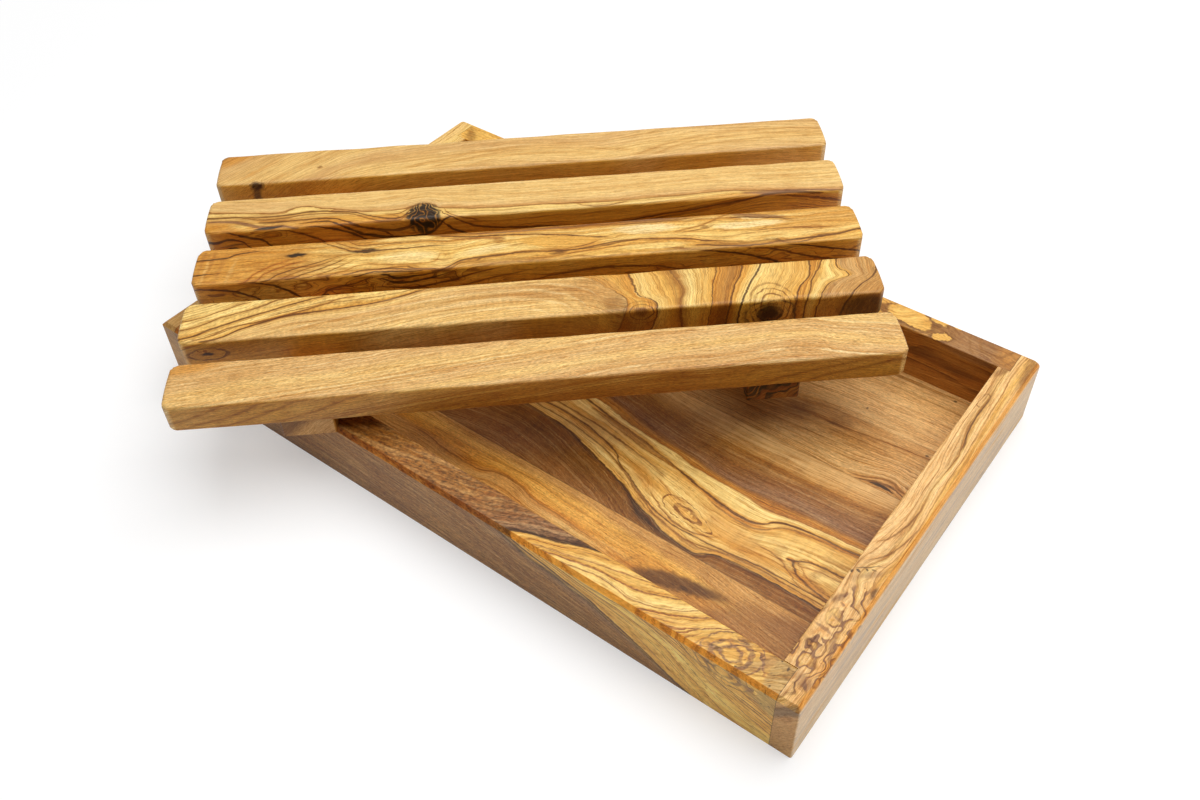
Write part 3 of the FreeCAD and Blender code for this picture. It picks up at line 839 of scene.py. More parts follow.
slatOne = {
    "sheet": slatSheet, "fold": (1, 1, 0),
    "ringStep": 7, "drift": 2,
    "rings": """
    -185 -72, -150 -44, -120 -22, -95 -10, -60 -4, -30 -1, 0 0, 40 -3, 80 2, 120 4, 185 -2
    -185 -60, -150 -32, -120 -10, -95 2, -60 8, -30 11, 0 12, 40 9, 80 14, 120 16, 185 10""",
    "tones": "-6 honey, -3 fawn, -1 honey, 0 honey, 1 fawn, 2 honey, 5 honey, 9 fawn",
    "veins": """
    tan 4 4 .3 .7: .75
    cream 5 5 .34 0: .5""",
    "eyes": [
        {"spot": ((-157, -17), (6, 5)), "push": 0.9, "lines": 1.6, "force": 0.6, "core": 0.5},
    ],
    "stains": """
    amber .8 .6 30: -174 11, 17 5
    brown .6 .6 20: -181 13, 5 2.4
    amber .5 .7 40: -158 -3, 12 1.4
    brown .8 .5: -121 -3, 1.5 1.2
    toast .5 .7: -150 -24, 44 9
    bark .8 .5: -158 -24, 2.4 9""",
    "strokes": """
    tan .5 .7 .25: -64 -13 0, -45 -8 .5, -25 -2 .6, 0 1 .6, 25 0 .5, 50 -4 .4, 75 -8 0
    tan .46 .7 .25: -80 -12 0, -55 -6 .4, -30 1 .4, 0 4.5 .5, 30 3 .4, 60 -1 0
    tan .34 .7 .2: -40 -13 0, -20 -7 .4, 0 -4 .5, 25 -5 .4, 50 -9 0
    tan .52 .7 .25: 60 -13 0, 75 -8 .5, 90 -2 .6, 110 3 .6, 130 5 .6, 155 5 .5, 182 3 .3
    tan .46 .7 .25: 74 -13 0, 88 -7 .5, 104 -2 .4, 125 1 .5, 155 1 .4, 182 -1 .3
    toast .3 .7 .2: 90 -13 0, 105 -8 .4, 125 -4 .4, 155 -3.5 .4, 182 -5 .2""",
    # the side tint paints shade on the slat's long faces
    "grain": {"sidePaintedShading": (1, 0.79, 0.31, 1), "fleck": 0.8, "hairWidth": 0.4, "fibre": 0.5},
}

slatTwo = {
    "sheet": slatSheet, "fold": (1, 1, 0),
    "drift": 0.2,
    "rings": """
    -185 -34, -60 -30, -40 -28, 0 -30, 50 -28, 80 -25, 110 -20, 135 -15.5, 155 -17, 185 -22
    -185 -15, -150 -12, -120 -9, -100 -12, -80 -13, -62 -12, -46 -18, -20 -20, 60 -18, 100 -14, 125 -12.5,
        140 -14, 155 -15.5, 185 -19
    -185 3, -165 1.5, -150 -.5, -142 -1, -134 2, -127 4, -117 1.5, -105 -1.5, -95 -4, -80 -5.5, -66 -3,
        -58 -1.5, -50 -6, -40 -8, -20 -10, 0 -10.7, 60 -11, 80 -10.5, 100 -9.5, 125 -10.5, 140 -12,
        155 -13.5, 185 -16
    -185 12, -100 6, -62 8, 0 3, 100 5, 185 2
    -185 18, -100 15, 0 14, 185 14""",
    "tones": ("-2 gold, -.3 gold, 0 amber, .3 gold, 1 gold, 1.5 straw, 1.96 straw, 2 toast, 2.06 fawn, "
              "2.5 honey, 3.2 honey, 4 honey, 5 fawn"),
    "wild": [{"length": 30, "width": 6, "force": 2.4, "spot": ((-125, -18), (80, 18))}],
    "veins": """
    tan 3: -2 0, 1.9 0, 2.1 .6, 5 .6
    cream 4 5 .34 0: -2 0, 2.1 0, 2.3 .45, 5 .45
    umber 2.6 2.6 .28 .9 .5: -2 .9, .6 .9, 1.2 .6, 1.9 .5, 2 0, 5 0
    bark 1 1.4 .36 .8 .4: .9: -125 -26, 62 9""",
    "eyes": [
        {"spot": ((-59, -13), (9.5, 12)), "push": 1, "lines": 1, "force": 0.6, "core": 0.8, "tone": "bark",
         "coreTone": "umber", "cracks": (-58, 5, 4.2)},
    ],
    "stains": """
    amber .8 .4 -30: -172 -14, 16 6
    amber .6 .5 -8: -118 -14, 20 4
    tan .5 .5 -2: -150 -6, 36 5
    fawn .7 .6 -4: -154 8, 26 4
    amber .5 .6: -70 -22, 60 8""",
    "strokes": """
    brown .7 .3 .3: -184 6 1, -178 3 .6, -165 1.5 .4, -150 -.5 .3, -142 -1 .5, -134 2.5 .6, -128 4 .5,
        -117 1.5 .5, -105 -1.5 .4, -95 -4 .5, -80 -5.5 .2, -70 -4.5 .4, -64 -2.5 .8, -58 -1.8 .7, -50 -6 .6,
        -40 -8 .5, -20 -10 .5, 0 -10.7 .4, 30 -10.5 .4, 60 -11.5 .3, 85 -10.5 .4, 110 -9.7 .4, 140 -12 .5,
        160 -13.5 .2
    umber .85: -184 -1.5 .8, -176 -2.5 .6, -165 -3 .6, -150 -4.5 .4, -135 -3.5 .6, -120 -1.5 .5,
        -108 -3.5 .7, -98 -5 .5, -92 -8 .5, -84 -11.5 .6, -76 -13 .6, -69 -10 .5, -65 -6 .3
    brown: -160 -5 .3, -148 -7 .4, -136 -6 .5, -124 -4 .4, -112 -5 .4, -102 -6 .6, -95 -9 .5, -88 -13 .6,
        -80 -15.5 .5, -71 -14 .4, -67 -9 .3
    umber: -150 -9.5 .3, -138 -9 .4, -126 -8.5 .4, -112 -9.5 .7, -104 -13 .7, -97 -17 .6, -86 -21 .7,
        -75 -22 .8, -66 -20 .9
    bark: -128 -12 .2, -116 -12 .5, -108 -15 .7, -100 -20 .8, -88 -25 .9, -72 -27 1, -60 -26 .9, -50 -20 1,
        -44 -15 .5
    brown: -84 -8 0, -76 -9 .3, -70 -7 .4, -65 -4 .3
    plum .9 1: -178 -6 .5, -170 -7 .8, -162 -9 .9, -154 -12 .8, -146 -14 1.1, -138 -13 .9, -130 -16 .4
    char: -154 -15.5 0, -148 -14.6 .9, -141 -13.8 .8, -136 -13 0
    umber: -52 -8 0, -47 -12 .4, -43 -15 .6, -36 -20 .6, -24 -24 .6, 0 -27 .6, 40 -28 .6, 70 -25 .5,
        100 -21 .5, 128 -17 .6, 142 -14 1.4, 152 -14.5 1.2, 166 -16.5 .6
    brown: -50 -5.5 0, -46 -10 .3, -41 -14 .4, -32 -18 .3, -20 -21 0
    brown: 26 -11 0, 32 -13 .4, 42 -15 .4, 52 -13.5 .4, 60 -12 0
    plum .8 .9: 120 -12 0, 135 -13 1, 150 -12.5 .7, 162 -13.5 .5, 178 -15 .2
    bark: -184 -20 1.2, -176 -22.5 .9, -168 -21 .8, -160 -24 .5, -154 -29 .3
    bark: -184 -27 .9, -174 -28.5 .7, -166 -27 .5, -160 -30 .2
    bark: -170 -16 .2, -161 -19 .6, -150 -23 .8, -140 -30 .3
    umber: -143 -16 .2, -130 -19.5 .5, -119 -25 .7, -108 -31 .3
    bark: -124 -16 .2, -111 -19 .6, -98 -23.5 .8, -84 -31 .3
    umber: -106 -16 .2, -93 -19 .4, -81 -23 .6, -70 -29 .3
    bark: -51 -16 .4, -46 -21.5 .9, -38 -26.5 .7, -22 -31 .3""",
    # the side tint paints shade on the slat's long faces
    "grain": {"sidePaintedShading": (0.9, 0.7, 0.28, 1), "fleck": 0.8, "hairWidth": 0.4, "fibre": 0.5},
}

slatThree = {
    "sheet": slatSheet, "fold": (1, 1, 0),
    "drift": 0.2,
    "rings": """
    -185 -30, -120 -27, -60 -30, 0 -28, 60 -30, 120 -26, 185 -28
    -185 -15, -153 -17, -120 -17, -95 -14, -75 -13, -55 -15, -45 -14, -37 -9.5, -25 -8.2, 0 -8.2, 22 -7.6,
        39 -4.3, 53 -3, 68 -3.2, 84 -5, 100 -9, 130 -12, 150 -12, 164 -11, 185 -6.5
    -185 2, -95 2, -84 0, -60 1.2, -47 0, -30 2.5, -10 5, 0 5, 20 3, 38 0, 60 1, 100 0, 140 1, 185 4
    -185 9, -140 9, -110 9, -92 6, -70 8.5, -46 8, -20 9, 0 8.2, 15 7.2, 30 7.5, 60 9.5, 100 12, 140 9,
        185 10
    -185 17, -120 16, -60 14, 0 13, 60 14, 185 16""",
    "tones": ("-2 gold, 0 gold, .6 sun, .96 gold, 1 umber, 1.05 gold, 1.3 straw, 1.95 sun, 2 toast, "
              "2.06 sun, 2.5 straw, 2.96 gold, 3 toast, 3.08 straw, 3.6 gold, 4 toast, 4.1 gold, 5 amber"),
    "wild": [{"length": 26, "width": 7, "force": 0.8},
             {"length": 17, "width": 7, "force": 3.2, "spot": ((-100, -27), (95, 11))},
             {"length": 22, "width": 7, "force": 2.4, "spot": ((120, -28), (80, 11))}],
    "veins": """
    brown 2.4 2.6 .22 .8 .6: .75
    toast 4.6 3.6 .24 .3: .7
    bark 1.1 1.4 .34 1 .4: 1: -100 -26, 95 9
    bark .9 1.2 .26 .8 .4: .9: 130 -26, 60 9""",
    "stains": """
    amber .8: -160 0, 42 19
    russet .35 .8 -6: -178 0, 1.2 14
    russet .35 .8 -8: -172.5 2, 1 12
    russet .3 .8 -8: -167 -2, 1.2 11
    honey .4 .8 -6: -175 -4, .8 10
    honey .35 .8 -10: -161 -5, 1 9
    toast .3 .6 26: -122 -7, 24 6
    straw .9 .16: -68 -3.8, 19 5.2
    straw .85 .18 12: -27 -2.5, 16 4.6
    cream .45 .4: -66 -3.4, 15 3.6
    cream .4 .4 12: -25 -2, 12 3.2
    straw .8 .3: -67 11.8, 17 2
    gold .9 .14 -8: 17 0, 23 5.4
    cream .7 .3: 64 6, 17 4
    cream .7 .25: 121 4, 20 3.2
    straw .8 .3: 66 -9, 18 2.6
    straw .8 .4 5: 150 -8.5, 26 1.3
    amber .5 .5 8: 166 3, 32 9
    toast .6 .5: -15 -13, 26 3
    brown .45 .6: 100 -13.5, 34 2.2
    plum .8 .5: 70 14, 18 2
    plum .8 .4 -9: 126 11, 15 1.5
    cream .8 .4 -6: 123 9.2, 7 .8
    toast .5 .6: -128 4, 8 4.5
    char .95 .4: -127 4.6, 5.5 2
    char .95 .4: -90 4.1, 7.5 1.7
    toast .7 .4: -17 5.6, 3.4 1.8
    brown .7 .6: 96 4.6, 2 1.2""",
    "strokes": """
    bark: -182 5.3 .4, -172 6 .4, -165 6.5 .5, -160 9 .4, -152 10.5 .3, -140 11 0
    bark: -182 -6.8 .4, -172 -6.8 .3, -160 -7 0
    rust .9 .45 .8: -155 -16 .2, -149 -11 .3, -142 -5.5 .3, -133 -1 .2, -126 .5 0
    rust .9 .45 .7: -149 -16 .2, -143 -11 .3, -135 -6 .3, -124 -1.5 .2, -114 .5 0
    umber: -143 -16 .3, -136 -12 .4, -127 -8 .4, -116 -3.4 .3, -106 0 .2, -97 2.5 0
    brown: -136 -16 .3, -129 -12.5 .3, -120 -8 .3, -110 -3.8 .3, -100 .2 0
    umber: -130 -16 .4, -122 -12.5 .4, -113 -8.5 .3, -104 -4 .3, -96 0 0
    brown: -122 -16 .3, -114 -13 .3, -106 -9.5 .3, -98 -5 .2, -90 -1 0
    toast: -114 -16 .3, -106 -13.5 .3, -98 -10.5 .3, -90 -7.5 .3, -80 -8.5 .3, -66 -10 .3, -56 -9.4 .2,
        -50 -6.5 .3, -46 -4 .2, -48 -1.5 0
    umber: -100 -14.5 .3, -88 -11.5 .4, -76 -12.5 .5, -64 -14.5 .5, -52 -15.5 .3
    bark: -94 -16 .3, -84 -14.2 .4, -72 -15.5 .4, -60 -16.5 .3
    umber: -118 14.5 0, -110 11.5 .3, -102 7.5 .4, -95 4.8 .4, -84 3.6 .5, -70 3.9 .4, -52 4.2 .3, -40 3.6 0
    brown: -111 15 0, -104 11.8 .3, -97 8 .3, -90 5.8 .2, -80 5.4 0
    brown: -104 15 0, -98 12 .3, -91 8.8 .3, -82 8.6 .3, -70 9.2 .3, -56 9 .3, -46 7.6 .2, -34 6.4 0
    umber: -60 14 0, -48 12 .4, -36 10.5 .4, -20 9.2 .5, -6 8.6 .4, 12 6.6 .4, 26 4.2 .4, 38 1.2 .3,
        48 -.4 0
    russet: -50 10 0, -38 8.6 .3, -22 7.6 .4, -12 6.9 0
    plum: -40 13.5 0, -24 12 .5, -6 11.5 .4, 12 12 .4, 34 13.5 .4, 60 15 .3
    brown: 0 14 0, 20 13 .4, 40 12 .4, 58 11.4 .5, 80 12 .4, 104 14 0
    umber: -52 -17 .5, -44 -14 .5, -37 -9.5 .6, -25 -8.2 .5, -12 -7.6 .4, 6 -7.6 .3, 22 -7.4 .4, 39 -4.3 .4,
        53 -3 .4, 68 -3.2 .3, 84 -5 .4, 96 -8 .3, 108 -11 0
    brown: 6 -7 0, 22 -5.4 .3, 34 -2.6 .3, 40 -.8 0
    toast: 0 -12 .3, 16 -11 .4, 34 -9 .3, 50 -7 .2, 70 -6.6 0
    toast .9 .7: 76 .6 0, 84 2.6 .5, 92 5.2 .5, 101 9.2 .4, 110 13 .3
    brown: 80 -.4 0, 90 1.4 .4, 98 3.4 .3, 104 6.4 0
    umber: 108 10.2 0, 116 10.6 .4, 126 9.6 .5, 138 7.6 .4, 150 5.6 0
    brown: 110 -2.6 0, 128 -2.2 .3, 146 -2.6 .4, 160 -4 .3, 176 -3 0
    umber: 90 -11 .3, 100 -13 .5, 114 -14.5 .4, 130 -14.5 .3
    umber: 125 -13.5 0, 140 -13 .5, 152 -12 .6, 166 -10.6 .5, 182 -6.8 .6
    bark: -180 -18 .3, -162 -20.5 .5, -149 -26 .7, -140 -33 .3
    bark: -152 -16 .2, -139 -19.5 .6, -127 -26.5 .9, -118 -33 .4
    umber: -122 -31 .2, -108 -24.5 .5, -95 -21.5 .4, -84 -18 .2
    bark: -79 -17 .8, -73 -20.5 1.2, -62 -19.8 .5, -44 -17 0
    bark: -82 -20 .3, -72 -24 .9, -58 -22.5 .5, -36 -18 0
    umber: -84 -26 .2, -68 -27.5 .6, -48 -25 .4, -26 -20 .3, -10 -17 0
    umber .7: -60 -31 0, -36 -27.5 .4, -12 -23 .3, 10 -19 0
    umber .8: -6 -29 0, 14 -25 .5, 32 -23 .6, 52 -23.5 .5, 76 -27 .3, 92 -31 0
    bark: 92 -17 .2, 108 -19.5 .6, 124 -24.5 .8, 136 -29 .6, 146 -33 .3
    umber: 118 -17 .2, 134 -20 .5, 148 -25 .6, 160 -28 .4, 182 -29 .2
    bark: 140 -16.5 .2, 156 -19.5 .6, 170 -22.5 .5, 182 -24 .3""",
    # the side tint paints shade on the slat's long faces
    "grain": {"sidePaintedShading": (0.88, 0.67, 0.26, 1), "curl": 0.05, "fleck": 1.2, "pale": 0.1},
}

slatFour = {
    "sheet": slatSheet, "fold": (1, 1, 0),
    "drift": 0.15,
    "rings": """
    -185 -34, -150 -30, -100 -26, -60 -20, -30 -14, 0 -11, 20 -13, 40 -26, 60 -34, 185 -34
    -185 -20, -165 -15, -150 -8, -137 -3, -125 1, -110 2.5, -95 3.5, -80 6, -65 11, -55 14, 0 16, 60 14,
        185 12
    -185 -12, -165 -6, -150 0, -135 6, -118 12, -100 17, 0 19, 185 17
    -185 -2, -165 6, -150 12, -135 17, 0 19.5, 185 19""",
    "tones": ("-2 fawn, 0 honey, .3 honey, .6 fawn, .97 honey, 1 umber, 1.03 gold, 1.5 straw, 2 gold, "
              "2.5 straw, 5 straw"),
    "veins": """
    brown 1.5 2.4 .24 .6 .5: -2 0, .95 0, 1.05 .95, 5 .95
    tan 7 4 .36 .9: -2 .9, .95 .9, 1.05 0, 5 0
    straw 5 5 .3 0: -2 .7, .95 .7, 1.05 0, 5 0""",
    "overlays": [{
        "over": "across", "ringStep": 12, "drift": 0.25,
        "rings": """
    27 13, 33 9, 36 5, 40 2, 44 -3, 47 -8, 46 -15, 40 -32
    50 15, 51 10, 52 5, 53 -2, 55 -6, 60 -8, 62 -13, 58 -32
    72 15, 74 10, 76 5, 77 0, 77 -5, 75 -10, 76 -32
    97 15, 96 8, 93 0, 92 -6, 88 -32
    111 15, 108 5, 105 0, 103 -5, 100 -16, 98 -32
    121 15, 118 8, 113 0, 109 -8, 106 -16, 104 -32
    147 15, 145 5, 143 0, 139 -5, 136 -10, 135 -32
    154 15, 149 5, 146 0, 143 -8, 140 -16, 139 -32
    162 15, 161 6, 164 2, 165 -1, 155 -5, 150 -10, 147 -16, 145 -32
    182 15, 181 5, 175 -5, 168 -10, 163 -16, 158 -32""",
        "ringLines": (".5 umber, .4 umber, .6 brown, .2 umber, .4 umber, .5 bark, .45 umber, .35 umber, "
                      ".3 umber, .5 umber"),
        "tones": ("-1 tan, 0 amber, .5 gold, .95 amber, 1.05 straw, 1.7 gold, 2 toast, 2.35 straw, "
                  "3 gold, 3.05 amber, 3.7 toast, 4 amber, 4.4 gold, 5 straw, 6 gold, 6.1 amber, 7 gold, "
                  "7.5 straw, 8 gold, 8.1 fawn, 9 tan, 10 tan"),
        "wild": [{"length": 9, "width": 14, "force": 0.35}],
        "veins": "brown 1.6 2.6 .14 .9: .5",
    }],
    "eyes": [
        {"spot": ((122, -19), (12.5, 18.5)), "turn": 4, "push": 1.6, "halo": 1.3, "lines": 4.2,
         "force": 0.9, "core": 0.01, "tone": "brown"},
        {"spot": ((121, -25), (14, 10)), "lines": 2.2, "force": 0.9, "core": 0.3, "tone": "bark"},
        {"spot": ((54, -17), (9.5, 8)), "lines": 2, "force": 1, "core": 0.36, "coreTone": "brown"},
        {"spot": ((-167, -24), (15, 6.5)), "push": 0.8, "lines": 1.6, "force": 0.8},
    ],
    "stains": """
    tan .5 .8: 16 4, 26 6
    straw .4 .8 18: -130 10, 50 5
    tan .6 .6 20: 30 -2, 13 16
    honey .5 .7 24: 20 -6, 1.6 9
    honey .5 .7 8: 10 -8, 1.2 7
    brown .6 .5: 41 -11, 6 8
    char .9 .5: 120 -25, 6 7
    bark .75: 172 -25, 14 8
    brown .6 .5: 50 -25, 12 8
    umber .3 .6: 97 -25, 8 8
    amber .3 .6: -150 -26, 60 9""",
    "strokes": """
    umber: -182 -12 .5, -165 -6 .7, -150 0 .7, -135 6 .5, -118 12 .4, -110 14 .3
    brown: -172 -13 .3, -155 -6 .5, -140 -3 .5, -125 2 .4, -110 7 .4, -95 12 .4
    umber: -168 -15 .4, -150 -8 .5, -137 -3 .5, -125 1 .4, -110 2.5 .4, -95 3.5 .3, -80 6 .3, -65 11 .4,
        -58 13 .2
    brown: -182 -5 .3, -160 3 .5, -140 10 .5, -128 14 .3
    brown: -182 1 .3, -160 9 .4, -148 13 .3
    tan: -130 -13 0, -110 -8 .4, -85 -2 .4, -65 4 .3, -45 8 0
    cream .3 .9 0: -140 -13 0, -115 -8 .3, -85 -1 .4, -55 4 .5, -30 7 .6, -5 7 .6, 12 3 .5, 24 -5 .3,
        32 -14 0
    cream .3 .9 0: -110 -13 0, -85 -8 .3, -55 -3 .6, -30 0 .7, -8 .5 .7, 8 -3 .5, 18 -9 .3, 22 -15 0
    cream .3 .9 0: -75 -14 0, -50 -9 .5, -30 -6 .6, -12 -6 .6, 2 -9 .4, 10 -14 0
    cream .3 .9 0: -90 6 0, -60 9 .3, -30 11 .5, 0 11 .5, 18 8 .4, 30 2 .3, 38 -6 0
    toast .35 .8 .2: -60 1 0, -35 3.5 .4, -5 3.5 .4, 12 -1 .3, 22 -8 0
    toast .35 .8 .2: -60 7 0, -30 9.5 .3, 0 9.5 .4, 20 5 .4, 33 -2 .4, 40 -10 .3""",
    # the side tint paints shade on the slat's long faces
    "grain": {"curl": 0.1, "curlLength": 2.2, "curlWidth": 8, "fleck": 1.5, "hairWidth": 0.4,
              "sidePaintedShading": (0.7, 0.52, 0.18, 1)},
}

slatFive = {
    "sheet": slatSheet, "fold": (1, 1, 0),
    "ringStep": 7, "drift": 1.5,
    "rings": """
    -185 -24, -120 -17, -60 -9, 0 0, 50 6, 90 8, 115 10, 130 10, 150 5, 185 -2
    -185 -12, -120 -5, -60 3, 0 12, 50 18, 90 20, 115 22, 130 22, 150 17, 185 10""",
    "tones": "-4 tan, -2 fawn, -1 honey, 0 fawn, 1 honey, 2 fawn, 4 fawn",
    "veins": """
    tan 4.4 4: .8
    cream 5 5 .34 0: .5""",
    # the straw and honey stains on the front face, at both ends, are painted light
    "stains": """
    amber .7 .6 6: -174 12, 18 3.5
    straw .5 .6: 150 -26, 60 9
    honey .4 .6: -160 -26, 50 9""",
    "strokes": """
    brown .45 .7: -182 -31 .3, -165 -28 .4, -150 -24 .4, -138 -19 .3, -130 -16 0
    brown .4 .7: -182 -26 .3, -168 -23 .4, -155 -18 .3, -148 -15 0
    brown .45 .7: -165 -32 .3, -145 -28 .4, -128 -22 .4, -112 -17 .3
    brown .4 .7: -140 -32 .3, -120 -28 .3, -100 -22 .3, -84 -17 .2
    umber .4 .8: 120 -32 0, 140 -27 .4, 160 -23 .4, 182 -19 .3
    umber .35 .8: 100 -31 0, 120 -26 .3, 145 -21 .3, 170 -17 0""",
    # the side tint paints shade on the slat's long faces
    "grain": {"fleck": 1.8, "hairLength": 8, "hair": 0.9, "hairWidth": 0.4, "fibre": 0.5, "curl": 0.02,
              "sidePaintedShading": (0.7, 0.52, 0.19, 1)},
}

slatShape = {
    "corner": 5.0, "topRound": 2.0, "footRound": 1.3,
    "wander": 0.45, "wanderLength": 30.0,    # the sides are planed by hand
    "wear": 0.5, "wearLength": 22.0,         # and their edges sanded unevenly
    "bow": 0.7,                              # the sawn ends are sanded round
    "stations": 48, "endStations": 4, "cornerSteps": 6, "roundSteps": 5,
}


def slatOutline(reachX, reachY, shape, seed):
    corner = shape["corner"]
    outline = []
    for quarter, (signX, signY) in enumerate(((1, -1), (1, 1), (-1, 1), (-1, -1))):
        centre = Vector((signX * (reachX - corner), signY * (reachY - corner)))
        for step in range(shape["cornerSteps"] + 1):
            angle = math.radians(90 * (quarter - 1 + step / shape["cornerSteps"]))
            outward = Vector((math.cos(angle), math.sin(angle)))
            outline.append((centre + outward * corner, outward))
        runs = shape["stations"] if quarter % 2 else shape["endStations"]
        length = 2 * ((reachX if quarter % 2 else reachY) - corner)
        ahead = Vector((-outward.y, outward.x))
        start = outline[-1][0]
        outline += [(start + ahead * (length * step / runs), outward) for step in range(1, runs)]
    shaped = []
    for point, outward in outline:
        drift = noise.noise(Vector((point.x / shape["wanderLength"], outward.y * 3, seed)))
        inset = shape["wander"] * (0.5 + drift) + shape["bow"] * (point.y / reachY) ** 2 * abs(outward.x)
        worn = noise.noise(Vector((point.x / shape["wearLength"], outward.y * 5, seed + 9)))
        shaped.append((point - outward * max(inset, 0.0), outward, 1 + shape["wear"] * worn))
    return shaped


def shapeSlat(node, seed):
    span = spanOf(node, grateTurn)
    half = span["half"] / mm
    outline = slatOutline(half.x, half.y, slatShape, seed)
    top, foot, steps = slatShape["topRound"], slatShape["footRound"], slatShape["roundSteps"]
    profile = [(top, 90 - 90 * step / steps, 1) for step in range(steps + 1)]
    profile += [(foot, 90 * step / steps, -1) for step in range(steps + 1)]
    turn = Matrix.Rotation(grateTurn, 3, "Z")
    mesh = bmesh.new()
    loops = []
    for radius, angle, way in profile:
        loop = []
        for point, outward, wear in outline:
            inset = radius * wear * (1 - math.cos(math.radians(angle)))
            drop = radius * wear * (1 - math.sin(math.radians(angle)))
            spot = point - outward * inset
            height = -drop if way > 0 else drop - 2 * half.z
            loop.append(mesh.verts.new(span["top"] + turn @ (Vector((spot.x, spot.y, height)) * mm)))
        loops.append(loop)
    for upper, lower in zip(loops, loops[1:]):
        for index in range(len(outline)):
            after = (index + 1) % len(outline)
            mesh.faces.new((upper[index], lower[index], lower[after], upper[after])).smooth = True
    mesh.faces.new(loops[0])
    mesh.faces.new(reversed(loops[-1]))
    data = bpy.data.meshes.new("shaped_" + node)
    mesh.to_mesh(data)
    mesh.free()
    slat = bpy.data.objects.new("shaped_" + node, data)
    bpy.context.scene.collection.objects.link(slat)
    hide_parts(node)
    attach(slat, "slatted_grate")
    return slat


for number, plan in enumerate((slatOne, slatTwo, slatThree, slatFour, slatFive)):
    node, seed = "slat_%d" % (number + 1), 45.7 + 6.3 * number
    dress(node, plan, seed, grateTurn, shapeSlat(node, seed))

leftBatten = {
    "sheet": (110, -36, 20), "fold": (1, 1, 0),
    "rings": """
    -110 -8, 0 -6, 110 -9
    -110 5, 0 7, 110 4""",
    "tones": "-4 tan, 0 fawn, 1 tan, 4 fawn",
    "veins": "toast 2 3 .2: .6",
    # the umber stain at the front end is painted shade, below slat five
    "stains": "umber .7 .6: -106 8, 10 9",
    # the usual side tint paints shade on the batten's long faces
    "grain": {"curl": 0.06},
}
rightBatten = {
    **leftBatten,
    "tones": "-4 rust, -1 toast, 0 rust, 1 toast, 4 rust",
    "wild": [{"length": 12, "width": 9, "force": 5}],
    "veins": "char .9 .8 .62 .8 .1: 1",
    # the bark stain darkens the front end: painted shade below slat five
    "stains": "bark .2 .4: -106 0, 12 40",
}
dowelPlan = {**leftBatten, "sheet": (200, -140, 140), "tones": "-20 fawn, 0 honey, 20 fawn"}
dress("left_batten", leftBatten, 71.3, grateTurn + quarterTurn)
dress("right_batten", rightBatten, 77.9, grateTurn + quarterTurn)
dress("grate_dowels", dowelPlan, 83.3, grateTurn)


# Studio: pale floor, one wide soft light overhead and a plain sky

studio = {
    "floorReach": 6.0,          # metres
    "floorShade": 0.90,
    "floorShadeSeen": 0.62,
    "floorGlowSeen": 0.40,      # paper white for the eye, without more light on the board
    "floorFade": (0.3, 0.95),   # metres from the middle, where the floor turns to plain white
    "floorRoughness": 0.9, "floorSpecular": 0.1, "floorRelief": 0.02,
    "skyLight": 0.12,
    "keySize": 2.4,             # metres
    "keyHeight": 1.9,           # metres
    "keyPower": 57.0,           # watts
    "keyPlace": (0.28, 0.36),   # metres
}


def isSeen(finish):
    rays = [finish.node("LightPath", out=index) for index in (0, 3, 6)]
    return (rays[0] + rays[1] + rays[2]).limited()    # camera, glossy and transmission rays


def layFloor():
    reach = studio["floorReach"]
    mesh = bpy.data.meshes.new("studio_floor")
    corners = [(-reach, -reach, 0), (reach, -reach, 0), (reach, reach, 0), (-reach, reach, 0)]
    mesh.from_pydata(corners, [], [(0, 1, 2, 3)])
    floor = bpy.data.objects.new("studio_floor", mesh)
    bpy.context.scene.collection.objects.link(floor)
    finish = Finish("studio_floor_paper")
    plain, seen, glowSeen = (studio[name] for name in ("floorShade", "floorShadeSeen", "floorGlowSeen"))
    spot = finish.node("TexCoord", out=3)
    away = finish.node("VectorMath", {"operation": "LENGTH"}, {0: spot}, out=1)
    far = finish.step(away, *studio["floorFade"])
    seenShade = finish.mix(far, (seen, seen, seen, 1), (0, 0, 0, 1))
    seenGlow = finish.mix(far, (glowSeen, glowSeen, glowSeen, 1), (1, 1, 1, 1))
    colour = finish.mix(isSeen(finish), (plain, plain, plain, 1), seenShade)
    glow = finish.mix(isSeen(finish), (0, 0, 0, 1), seenGlow)
    speck = finish.noise(spot, 2.0)
    normal = finish.node("Bump", None, {"Height": speck, "Distance": mm, "Strength": studio["floorRelief"]})
    finish.close(colour, studio["floorRoughness"], normal, studio["floorSpecular"], glow)
    mesh.materials.append(finish.material)


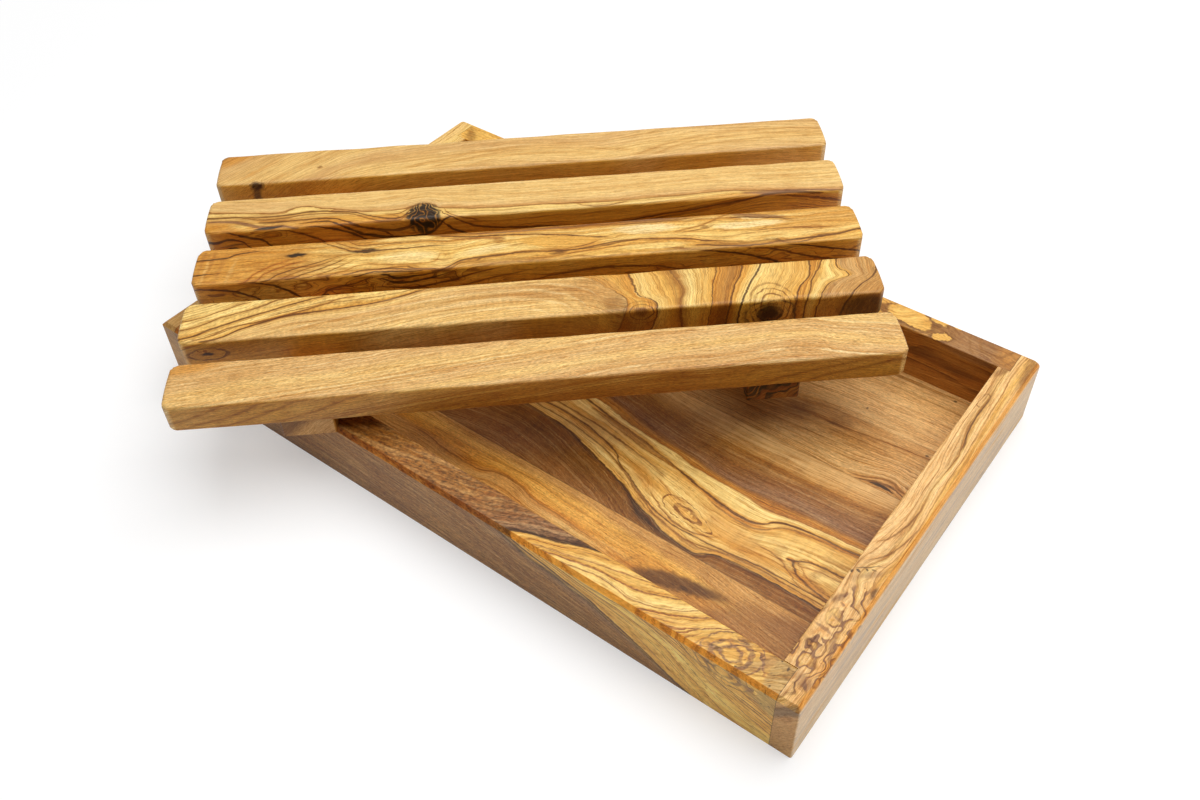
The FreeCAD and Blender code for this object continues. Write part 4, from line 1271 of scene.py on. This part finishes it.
def lightStudio():
    world = bpy.data.worlds.new("studio_sky")
    bpy.context.scene.world = world
    world.use_nodes = True
    nodes, links = world.node_tree.nodes, world.node_tree.links
    nodes.clear()
    path = nodes.new("ShaderNodeLightPath")
    strength = nodes.new("ShaderNodeMix")
    strength.inputs["A"].default_value = studio["skyLight"]
    strength.inputs["B"].default_value = 1.0
    sky = nodes.new("ShaderNodeBackground")
    sky.inputs["Color"].default_value = (1, 1, 1, 1)
    out = nodes.new("ShaderNodeOutputWorld")
    links.new(path.outputs["Is Camera Ray"], strength.inputs["Factor"])
    links.new(strength.outputs["Result"], sky.inputs["Strength"])
    links.new(sky.outputs["Background"], out.inputs["Surface"])
    lamp = bpy.data.lights.new("studio_key", "AREA")
    lamp.size = studio["keySize"]
    lamp.energy = studio["keyPower"]
    key = bpy.data.objects.new("studio_key", lamp)
    key.location = (*studio["keyPlace"], studio["keyHeight"])
    key.rotation_euler = (-key.location).to_track_quat("-Z", "Y").to_euler()
    bpy.context.scene.collection.objects.link(key)


layFloor()
lightStudio()
print("studio lit")


# Camera at the photograph's place

view = {
    "azimuth": 38.16, "elevation": 45.70, "roll": -1.782,    # degrees
    "eye": (282.8, -351.9, 456.0),
    "lens": 34.68,
}


def aimCamera():
    azimuth, elevation, roll = (math.radians(view[name]) for name in ("azimuth", "elevation", "roll"))
    back = Vector((math.sin(azimuth) * math.cos(elevation), -math.cos(azimuth) * math.cos(elevation),
                   math.sin(elevation)))
    side = (-back).cross(Vector((0, 0, 1))).normalized()
    up = back.cross(side)
    sideRolled = math.cos(roll) * side + math.sin(roll) * up
    upRolled = math.cos(roll) * up - math.sin(roll) * side
    data = bpy.data.cameras.new("camera")
    data.lens = view["lens"]
    camera = bpy.data.objects.new("camera", data)
    turn = Matrix((sideRolled, upRolled, back)).transposed()
    camera.matrix_world = Matrix.Translation(Vector(view["eye"]) * mm) @ turn.to_4x4()
    bpy.context.scene.collection.objects.link(camera)
    bpy.context.scene.camera = camera


aimCamera()
bpy.context.scene.view_settings.view_transform = "Standard"
print("camera set")
